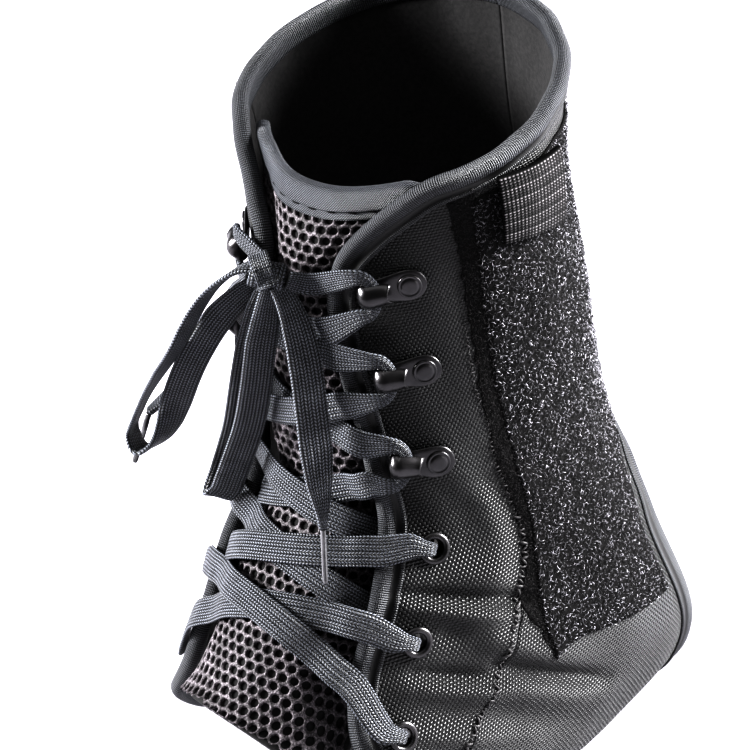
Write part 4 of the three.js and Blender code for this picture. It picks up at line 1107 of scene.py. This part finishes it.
def loopMesh():
    yarn, spread, height = pileSet["yarn"], pileSet["spread"], pileSet["height"]
    points = [(-spread, 0, -0.3), (spread * 1.1, yarn, -0.2)]  # two feet, then two rings of yarn at the top
    for x, y, z in ((-0.6 * spread, -yarn, 0.9 * height), (0.55 * spread, 1.5 * yarn, height)):
        points += [(x, y + yarn * math.sin(a), z + yarn * math.cos(a)) for a in (0, 2.094, 4.189)]
    faces = []
    for j in range(3):
        ahead = (j + 1) % 3
        faces += [(0, 2 + ahead, 2 + j), (2 + j, 2 + ahead, 5 + ahead, 5 + j), (1, 5 + j, 5 + ahead)]
    return bpy.data.objects.new("pile_loop", newMesh("pile_loop", points, faces))


def pileTree():
    tree, source, target = startTree(
        "pileLoops", Density=("Float", 1e6), Tilt=("Float", 0.5), Small=("Float", 0.6),
        Large=("Float", 1.4), Seed=("Int", 1), Loop=("Object", None), Finish=("Material", None))
    inputs = source.outputs
    points = addNode(tree, "GeometryNodeDistributePointsOnFaces", {
        "Mesh": inputs["Geometry"], "Density": inputs["Density"], "Seed": inputs["Seed"]})
    back = addNode(tree, "ShaderNodeMath", {0: inputs["Tilt"]}, {1: -1.0}, operation="MULTIPLY").outputs[0]
    low = addNode(tree, "ShaderNodeCombineXYZ", {"X": back, "Y": back}, {"Z": -3.1416})
    high = addNode(tree, "ShaderNodeCombineXYZ", {"X": inputs["Tilt"], "Y": inputs["Tilt"]}, {"Z": 3.1416})
    lean = addNode(tree, "FunctionNodeRandomValue", {
        "Min": low.outputs[0], "Max": high.outputs[0], "Seed": inputs["Seed"]}, data_type="FLOAT_VECTOR")
    turn = addNode(tree, "FunctionNodeEulerToRotation", {0: lean.outputs[0]})
    spin = addNode(tree, "FunctionNodeRotateRotation", {
        "Rotation": points.outputs["Rotation"], "Rotate By": turn.outputs[0]}, rotation_space="LOCAL")
    size = addNode(tree, "FunctionNodeRandomValue", {2: inputs["Small"], 3: inputs["Large"]},
                   data_type="FLOAT")
    loop = addNode(tree, "GeometryNodeObjectInfo", {"Object": inputs["Loop"]})
    placed = addNode(tree, "GeometryNodeInstanceOnPoints", {
        "Points": points.outputs["Points"], "Instance": loop.outputs["Geometry"],
        "Rotation": spin.outputs[0], "Scale": size.outputs[1]})
    shade = addNode(tree, "FunctionNodeRandomValue", None, {"Seed": pileSet["shadeSeed"]},
                    data_type="FLOAT")
    stored = addNode(tree, "GeometryNodeStoreNamedAttribute", {
        "Geometry": placed.outputs[0], "Value": shade.outputs[1]}, {"Name": "fibreShade"},
        data_type="FLOAT", domain="INSTANCE")
    return endTree(tree, stored.outputs[0], inputs["Finish"], target)


growTree, pileLoop = pileTree(), loopMesh()


def growLoops(name, top, sign, material, values):
    spots = mirrored(top.reshape(-1, 3), sign)
    ground = newObject(name + "_ground", spots, gridFaces(*top.shape[:2], flip=sign < 0), material)
    inputs = {label: values[label.lower()] for label in ("Density", "Tilt", "Small", "Large", "Seed")}
    return settle(runTree(name, ground, growTree, Loop=pileLoop, Finish=material, **inputs), "pile")


def makePatches():
    u, v = patchPlace(*shareGrid(*pileSet["grid"]))
    top, foot = onCloth(u, v, pileSet["baseTop"]), onCloth(u, v, pileSet["baseFoot"])
    points, faces = closedSheet(top, foot)
    uv = np.tile(unwrapGrid(top), (2, 1))
    bases = addBoth("pile_base", points, faces, finish["pileBase"], uv, "pile", "loop_patch")
    for side, sign in sides.items():
        loops = growLoops(f"pile_loops_{side}", top, sign, finish["fibre"], pileSet)
        print("pile loops", side, len(loops.data.polygons))


makePatches()


# Frayed border before the patch, and overcast stitches down the seam.
seamSet = {"pitch": 1.2, "length": 2.3, "height": 0.55, "yarn": 0.26, "sunk": 0.2, "rings": 5, "sway": 28,
           "seed": 6, "lean": (1, -0.4), "unevenLean": 0.5, "ragged": 0.45, "smallest": 0.5,
           "growSpan": (2.6, 4.4), "curveSteps": 12}
borderSet = {"rows": 120, "columns": 9, "fray": 0.4, "overlap": 1.2, "least": 1.5, "crown": 0.42,
             "foot": 0.02, "edgeSteps": 200}
fuzzSet = {"density": 3.0e6, "tilt": 1.1, "small": 0.5, "large": 1.2, "seed": 9}
seamLine = (  # u and v
    (64.0, 1.60), (65.0, 1.80), (66.2, 2.12), (69.5, 2.46), (72.6, 2.78), (73.4, 3.28), (71.5, 3.72),
    (71.2, 4.16), (69.8, 4.48), (69.2, 4.70), (70.0, 5.10), (73.0, 5.50), (76.0, 5.92), (77.8, 6.36),
    (81.5, 6.75),
)
borderLine = (  # u and v
    (56.5, 0.18), (56.8, 0.38), (60.2, 0.66), (64.0, 1.08), (65.0, 1.40), (66.6, 1.76), (67.6, 2.10),
    (70.3, 2.46), (73.0, 2.78), (73.6, 3.28), (71.5, 3.72), (71.2, 4.16), (70.2, 4.48), (70.0, 4.68),
    (70.4, 4.80), (72.8, 4.94), (77.0, 5.08), (81.0, 5.24),
)


def stitchMesh(name, length, height, yarn):
    rings, points = seamSet["rings"], []
    for t in np.linspace(-1, 1, rings):
        thin = yarn * (0.55 + 0.45 * (1 - t ** 4))
        arch = height * (1 - t ** 2) - seamSet["sunk"]
        points += [(t * length / 2, thin * math.cos(a), arch + thin * math.sin(a))
                   for a in np.linspace(0, 2 * math.pi, rings, endpoint=False)]
    return bpy.data.objects.new(name, newMesh(name, points, tubeFaces(rings, rings)))


def stitchTree():
    tree, source, target = startTree("stitchRow", Stitch=("Object", None), Finish=("Material", None))
    inputs = source.outputs
    outward, lengthways, size = (
        addNode(tree, "GeometryNodeInputNamedAttribute", None, {"Name": label}, data_type=kind).outputs[0]
        for label, kind in (("outward", "FLOAT_VECTOR"), ("lengthways", "FLOAT_VECTOR"), ("size", "FLOAT")))
    turn = addNode(tree, "FunctionNodeAxesToRotation", {
        "Primary Axis": outward, "Secondary Axis": lengthways}, primary_axis="Z", secondary_axis="X")
    shape = addNode(tree, "GeometryNodeObjectInfo", {"Object": inputs["Stitch"]})
    placed = addNode(tree, "GeometryNodeInstanceOnPoints", {
        "Points": inputs["Geometry"], "Instance": shape.outputs["Geometry"],
        "Rotation": turn.outputs[0], "Scale": size})
    return endTree(tree, placed.outputs[0], inputs["Finish"], target)


rowTree = stitchTree()


def stitchRow(name, places, outward, lengthways, size, stitch, material, slot):
    mesh = bpy.data.meshes.new(name + "_points")
    mesh.from_pydata((places * mm).tolist(), [], [])
    for label, vectors in (("outward", outward), ("lengthways", lengthways)):
        mesh.attributes.new(label, "FLOAT_VECTOR", "POINT").data.foreach_set("vector", vectors.ravel())
    mesh.attributes.new("size", "FLOAT", "POINT").data.foreach_set("value", size)
    base = bpy.data.objects.new(name + "_points", mesh)
    scene.collection.objects.link(base)
    return settle(runTree(name, base, rowTree, Stitch=stitch, Finish=material), slot)


def borderFaces(chance):
    v = np.linspace(borderLine[0][1], borderLine[-1][1], borderSet["rows"])
    steps = borderSet["edgeSteps"]
    edgeU, edgeV = patchPlace(np.zeros(steps), np.linspace(0, 1, steps))
    back = np.interp(v, edgeV, edgeU) + borderSet["overlap"]
    lineU, lineV = np.array(borderLine).T
    front = np.minimum(np.interp(v, lineV, lineU), back - borderSet["least"])
    front = front + borderSet["fray"] * chance.normal(0, 1, len(v))
    c = np.linspace(0, 1, borderSet["columns"])
    u, v = blendTo(front[:, None], back[:, None], c[None]), np.repeat(v[:, None], len(c), 1)
    crown = borderSet["crown"] * np.sin(math.pi * (0.06 + 0.94 * c / 2))[None]
    return onCloth(u, v, crown), onCloth(u, v, borderSet["foot"])


def makeSeam():
    stitch = stitchMesh("seam_stitch", seamSet["length"], seamSet["height"], seamSet["yarn"])
    u, v = smoothCurve([(u, v, 0) for u, v in seamLine], seamSet["curveSteps"])[:, :2].T
    u, v = evenPath(u, v, seamSet["pitch"])
    spots, outward = onCloth(u, v, 0.0), surfaceSlopes(u, v)[2]
    along = unit(np.gradient(spots, axis=0))
    chance = np.random.default_rng(seamSet["seed"])
    turns = np.where(np.arange(len(u)) % 2, *seamSet["lean"])
    turns = turns + chance.normal(0, seamSet["unevenLean"], len(u))
    sway = np.radians(seamSet["sway"]) * turns[:, None]
    grown = blendTo(seamSet["smallest"], 1, smooth(v, *seamSet["growSpan"]))
    size = grown * (1 + seamSet["ragged"] * chance.uniform(-1, 1, len(u)))
    lengthways = unit(np.cross(outward, along) * np.cos(sway) + along * np.sin(sway))
    top, foot = borderFaces(chance)
    points, faces = closedSheet(top, foot)
    uv = np.tile(unwrapGrid(top), (2, 1))
    addBoth("frayed_border", points, faces, finish["border"], uv, "pile", None)
    for side, sign in sides.items():
        ways = (mirrored(vectors, sign) for vectors in (spots, outward, lengthways))
        stitchRow(f"seam_stitches_{side}", *ways, size, stitch, finish["thread"], "nylon")
        growLoops(f"border_fuzz_{side}", top, sign, finish["fuzz"], fuzzSet)


makeSeam()


# Dashes along the groove of the tongue's tape.
dashSet = {"pitch": 4.6, "length": 2.6, "height": 0.16, "yarn": 0.24, "reach": -5.4, "lift": 0.22,
           "inset": 3}


def makeDashes():
    dash = stitchMesh("tape_dash", dashSet["length"], dashSet["height"], dashSet["yarn"])
    u, v = tongueTopPath(dashSet["inset"], dashSet["pitch"])
    section = np.array([[dashSet["reach"], 0, dashSet["lift"]]])
    spots = tapeRings(u, v, section, tongueOuter, tongueInner, tapePathSet["gap"])[:, 0]
    along = unit(np.gradient(spots, axis=0))
    stitchRow("tongue_dashes", spots, surfaceSlopes(u, v)[2], along, np.ones(len(u)), dash,
              finish["border"], "tape")


makeDashes()
print("seam and dashes made")


# Keeper: ribbed webbing that stands off the patch between its two sewn ends.
keeperSet = {"fromU": 72.5, "toU": 104.5, "lean": 4.5, "topV": 0.10, "endV": 0.92, "slant": 0.24,
             "foot": 2.6, "bow": 1.3, "thickness": 0.9, "grid": (58, 121), "ribs": 24, "warps": 19,
             "relief": 0.30, "warpLow": 0.72, "warpRise": 0.28, "hem": 0.25, "hemSpan": 0.03}


def makeKeepers():
    a, b = shareGrid(*keeperSet["grid"])
    u = blendTo(keeperSet["fromU"], keeperSet["toU"], a) + keeperSet["lean"] * b
    v = blendTo(keeperSet["topV"], keeperSet["endV"], b) + keeperSet["slant"] * a
    base = panelSet["outer"] + keeperSet["foot"] + keeperSet["bow"] * np.sin(math.pi * b) ** 0.6
    rib, warp = (np.abs(np.sin(math.pi * keeperSet[key] * at)) ** 0.7
                 for key, at in (("ribs", b), ("warps", a)))
    raised = keeperSet["relief"] * rib * (keeperSet["warpLow"] + keeperSet["warpRise"] * warp)
    hem = keeperSet["hem"] * (1 - smooth(np.minimum(a, 1 - a), 0, keeperSet["hemSpan"]))
    top = placeOn(u, v, base + keeperSet["thickness"] + raised - hem)
    points, faces = closedSheet(top, placeOn(u, v, base + hem))
    weave = np.stack([a * keeperSet["warps"], b * keeperSet["ribs"]], -1).reshape(-1, 2)
    uv = np.tile(weave, (2, 1))
    addBoth("keeper_web", points, faces, finish["webbing"], uv, "webbing", "strap_keeper")


makeKeepers()
print("patches and keepers made")


# Hardware: rolled eyelets, curled hooks and capped rivets.
hardwareSet = {"turns": 32, "base": 1.3, "plateRadius": 4.2, "reach": 12.8, "halfWidth": 3.1, "sheet": 0.9,
               "curl": 2.6, "tip": 4.4, "dome": 1.7, "domeSpan": (0.15, 0.75), "notch": 1.3, "rim": 0.35,
               "neckSpan": (0, 8), "narrowing": 0.22, "droop": 0.25, "plateSteps": 9, "stemSteps": 14,
               "curlSteps": 14, "tipSteps": 8, "acrossSteps": 11}
eyeletProfile = (  # radius and height
    (2.20, -2.3), (2.45, -2.35), (3.5, -2.1), (3.75, -1.8), (3.5, -1.55), (2.75, -1.45), (2.7, 1.15),
    (3.6, 1.25), (3.95, 1.4), (4.05, 1.65), (3.95, 1.95), (3.6, 2.25), (3.1, 2.36), (2.65, 2.22),
    (2.35, 1.85), (2.22, 1.2),
)
rivetProfile = (  # radius and height
    (0.0, 3.0), (0.9, 2.98), (1.6, 2.92), (2.0, 2.8), (2.2, 2.62), (2.35, 2.6), (2.55, 2.74),
    (2.8, 2.74), (2.98, 2.55), (3.0, 2.3), (2.7, 2.1), (1.2, 2.1), (1.2, -1.35), (2.3, -1.4),
    (2.4, -1.75), (1.8, -2.0), (0.0, -2.05),
)


def latheAt(axes, profile, closed):
    centre, inward, normal, up = axes
    turns = np.linspace(0, 2 * math.pi, hardwareSet["turns"], endpoint=False)
    rings = np.array([[centre + normal * h + r * (math.cos(t) * inward + math.sin(t) * up) for t in turns]
                      for r, h in profile])
    index = np.arange(rings.shape[0] * len(turns)).reshape(rings.shape[:2])
    if closed:
        index = np.vstack([index, index[:1]])
    ahead = np.roll(index, -1, axis=1)
    return rings.reshape(-1, 3), np.stack([index[:-1], ahead[:-1], ahead[1:], index[1:]], -1).reshape(-1, 4)


def weldMesh(obj):
    editMesh(obj, mergeWithin(1e-6), dropThin, faceOutwards)
    obj.data.polygons.foreach_set("use_smooth", [True] * len(obj.data.polygons))
    return obj


def hookMesh(axes):
    centre, inward, normal, up = axes
    base, curl, sheet, plateRadius, halfWidth, tip = (
        hardwareSet[key] for key in ("base", "curl", "sheet", "plateRadius", "halfWidth", "tip"))
    curlSteps, tipSteps = hardwareSet["curlSteps"], hardwareSet["tipSteps"]
    turn, radius = hardwareSet["reach"] - curl, curl - sheet / 2
    flat = np.concatenate([-plateRadius * np.cos(np.linspace(0, math.pi / 2, hardwareSet["plateSteps"])),
                           np.linspace(0.7, turn, hardwareSet["stemSteps"])])
    toTip = np.linspace(0, 1, tipSteps + 1)[1:]
    line = [(x, base + sheet / 2, 0, 1) for x in flat]  # place along and up, then the sheet's outward way
    line += [(turn + radius * math.sin(t), base + curl - radius * math.cos(t), -math.sin(t), math.cos(t))
             for t in np.linspace(0, math.pi, curlSteps + 1)[1:]]
    line += [(x, base + 2 * curl - sheet / 2 - hardwareSet["droop"] * (turn - x) / (turn - tip), 0, -1)
             for x in np.linspace(turn, tip, tipSteps + 1)[1:]]
    line = np.array(line)
    plate = np.sqrt(np.maximum(plateRadius ** 2 - flat ** 2, 0.0))
    neck = blendTo(plateRadius, halfWidth, smooth(flat, *hardwareSet["neckSpan"]))
    lowHalf = np.where(flat > 0, np.maximum(plate, neck), np.maximum(plate, 0.05))
    half = np.concatenate([lowHalf, np.full(curlSteps, halfWidth),
                           halfWidth * (1 - hardwareSet["narrowing"] * toTip ** 2)])
    half[:len(flat)] = softened(half[:len(flat)], 2)
    across = np.sin(np.linspace(-math.pi / 2, math.pi / 2, hardwareSet["acrossSteps"]))
    crown = 0.5 * np.sqrt(np.maximum(1 - across ** 6, 0.0)) + 0.02
    rising = smooth(np.linspace(0, 1, curlSteps), *hardwareSet["domeSpan"])
    dome = hardwareSet["dome"] * np.concatenate([np.zeros(len(flat)), rising, np.ones(tipSteps)])[:, None]
    lip = np.concatenate([np.zeros(len(flat) + curlSteps), toTip])[:, None]  # cut hollow, with a turned rim
    hollow = hardwareSet["notch"] * lip ** 2 * (1 - across ** 2)

    def face(direction):
        offset = sheet * crown * direction + dome * across ** 2 - hardwareSet["rim"] * lip ** 6
        x = line[:, None, 0] + line[:, None, 2] * offset + hollow
        h = line[:, None, 1] + line[:, None, 3] * offset
        return (centre + inward * x[..., None] + normal * h[..., None]
                + up * (half[:, None] * across)[..., None])

    return closedSheet(face(1), face(-1))


def makeHardware():
    for side, sign in sides.items():
        for i, station in enumerate(stationList):
            axes, number = stationAxes(station, sign), i % 3 + 1
            if station[0] == "eyelet":
                pieces = (("eyelet_ring", "eyelet", latheAt(axes, eyeletProfile, True)),)
            else:
                pieces = (("curl_hook", "lace_hook", hookMesh(axes)),
                          ("rivet_cap", "hook_rivet", latheAt(axes, rivetProfile, False)))
            for name, node, (points, faces) in pieces:
                piece = newObject(f"{name}_{side}_{number}", points, faces, finish["metal"])
                settle(weldMesh(piece), "metal", f"{node}_{side}_{number}")


makeHardware()
print("hardware made")


# Tongue: an open net of round holes knitted over a soft pad.
netSet = {"pitch": 3.12, "row": 2.60, "hole": 1.02, "stretch": (1.15, 0.96), "crest": 0.10, "edge": -0.30,
          "wall": -0.95, "shoulder": 0.55, "shoulderDrop": 0.04, "flare": 1.03, "inset": 2.5, "corner": 7.0,
          "cornerSpan": (6.9, 7.5), "pastEnd": 0.03, "belowTop": 0.05, "merge": 2e-5, "span": 75,
          "rows": 160, "lastV": 7.7}
padSet = {"drop": 0.85, "short": 0.03, "grid": (70, 120), "rimSpan": 0.05, "rimShare": 0.25}


def tongueTables():
    span = netSet["span"]
    v = np.linspace(tongueSet["topV"], netSet["lastV"], netSet["rows"])
    u = np.linspace(-span, span, 2 * span + 1)
    points = surfacePoint(u[None, :], v[:, None])
    steps = np.linalg.norm(np.diff(points, axis=1), axis=2)
    arc = np.concatenate([np.zeros((len(v), 1)), np.cumsum(steps, 1)], 1)
    arc -= arc[:, span:span + 1]
    x = np.linspace(-span, span, 4 * span + 1)
    table = np.array([np.interp(x, row, u) for row in arc])
    return alongLength(points[:, span]), v, x, table


def flatToTongue(tables, x, y):
    along, v, flatX, table = tables
    row = np.interp(y, along, np.arange(len(v)))
    column = np.interp(x, flatX, np.arange(len(flatX)))
    i, j = np.minimum(row.astype(int), len(v) - 2), np.minimum(column.astype(int), len(flatX) - 2)
    t, s = row - i, column - j
    u = ((table[i, j] * (1 - s) + table[i, j + 1] * s) * (1 - t)
         + (table[i + 1, j] * (1 - s) + table[i + 1, j + 1] * s) * t)
    return u, np.interp(y, along, v)


def tongueEnd(u):
    return tongueSet["endV"] + tongueSet["endSkew"] * u


def netProfile():
    pitch, row, crest, shoulder = (netSet[key] for key in ("pitch", "row", "crest", "shoulder"))
    tall = (pitch ** 2 / 4 + row ** 2) / (2 * row)
    low = row - tall
    corners = np.array([(0, tall), (pitch / 2, low), (pitch / 2, -low), (0, -tall), (-pitch / 2, -low),
                        (-pitch / 2, low)])
    border = np.empty((2 * len(corners), 2))
    border[0::2], border[1::2] = corners, (corners + np.roll(corners, -1, axis=0)) / 2
    ring = unit(border) * netSet["hole"] * np.array(netSet["stretch"])
    between = border * (1 - shoulder) + ring * shoulder
    return ((border, crest), (between, crest - netSet["shoulderDrop"]), (ring, netSet["edge"]),
            (ring * netSet["flare"], netSet["wall"]))


def makeNet():
    tables, profile = tongueTables(), netProfile()
    pitch, row = netSet["pitch"], netSet["row"]
    lastRow, lastColumn = int(tables[0][-1] / row) + 1, int(netSet["span"] / pitch) + 1
    centres = np.array([(pitch * (i + 0.5 * (j % 2)), row * j) for j in range(lastRow)
                        for i in range(-lastColumn, lastColumn)])
    u, v = flatToTongue(tables, *centres.T)
    half = tongueHalfAngle(v) - netSet["inset"] - netSet["corner"] * smooth(v, *netSet["cornerSpan"])
    keep = (np.abs(u) < half) & (v < tongueEnd(u) + netSet["pastEnd"])
    centres = centres[keep & (v > tongueTop(u) + netSet["belowTop"])]
    points = []
    for shape, height in profile:
        flat = centres[:, None] + shape
        u, v = flatToTongue(tables, flat[..., 0].ravel(), flat[..., 1].ravel())
        v = np.minimum(v, tongueEnd(u))  # cut straight at the end
        points.append(placeOn(u, v, tongueOuter(u, v) + height))
    rings = np.arange(sum(map(len, points))).reshape(len(profile), len(centres), -1)
    faces = [np.stack([a, np.roll(a, -1, axis=1), np.roll(b, -1, axis=1), b], -1).reshape(-1, 4)
             for a, b in zip(rings[:-1], rings[1:])]
    net = newObject("tongue_net", np.concatenate(points), np.concatenate(faces), finish["strand"])
    settle(editMesh(net, mergeWithin(netSet["merge"])), "mesh")
    print("tongue net cells:", len(centres))


def makePad():
    columns, rows = padSet["grid"]
    a, b = np.meshgrid(np.linspace(-1, 1, columns), np.linspace(0, 1, rows))
    endHalf, topHalf = (float(tongueHalfAngle(tongueSet[key])) for key in ("endV", "topV"))
    endV = tongueSet["endV"] - padSet["short"] + tongueSet["endSkew"] * a * endHalf
    v = blendTo(tongueTop(a * topHalf), endV, b)
    u = a * tongueHalfAngle(v)
    thin = smooth(np.minimum(np.minimum(1 - np.abs(a), b), 1 - b), 0, padSet["rimSpan"])
    outer, inner = tongueOuter(u, v) - padSet["drop"] * thin, tongueInner(u, v)
    middle, share = (outer + inner) / 2, padSet["rimShare"] + (1 - padSet["rimShare"]) * thin
    points, faces = closedSheet(*(placeOn(u, v, blendTo(middle, side, share)) for side in (outer, inner)))
    pad = addSolid("tongue_pad", points, faces, finish["shadow"], "mesh", "tongue")
    lineInner(pad, finish["lining"], (columns - 1) * (rows - 1))


makeNet()
makePad()
print("tongue made")


# Studio: pale floor, white room and soft lights.
studioSet = {"floorHalf": 6000, "floorTone": 0.44, "floorRange": (0.43, 0.45), "roomStrength": 0.13,
             "aim": (0, 0, 0.1), "gamma": 0.64}
lightTable = (  # name, place, size, power
    ("key", (-1.05, -0.90, 0.75), 0.5, 116),
    ("rim", (0.72, 1.10, 0.55), 0.5, 124),
    ("side", (1.50, 0.20, 0.25), 0.4, 3),
    ("top", (0.0, -0.1, 1.9), 1.2, 12),
)


def areaLight(name, place, target, size, power):
    data = bpy.data.lights.new(name, "AREA")
    data.energy, data.size = power, size
    light = bpy.data.objects.new(name, data)
    scene.collection.objects.link(light)
    light.location = place
    light.rotation_euler = (Vector(target) - Vector(place)).to_track_quat("-Z", "Y").to_euler()


def makeStudio():
    floorMaterial, tree, shader = startMaterial("paleFloor", studioSet["floorTone"], 0.8)
    dark, pale = studioSet["floorRange"]
    paint(shader, noiseOn(tree, 3, 2), (0.3, grey(dark)), (0.7, grey(pale)))
    half = studioSet["floorHalf"]
    corners = [(-half, -half, 0), (half, -half, 0), (half, half, 0), (-half, half, 0)]
    floor = newObject("floor", corners, [(0, 1, 2, 3)], floorMaterial)
    world = bpy.data.worlds.new("softRoom")
    world.use_nodes = True
    room = world.node_tree.nodes["Background"].inputs
    room["Color"].default_value, room["Strength"].default_value = (1, 1, 1, 1), studioSet["roomStrength"]
    scene.world = world
    for name, place, size, power in lightTable:
        areaLight(name, place, studioSet["aim"], size, power)
    scene.view_settings.view_transform = "Standard"
    scene.view_settings.gamma = studioSet["gamma"]


makeStudio()
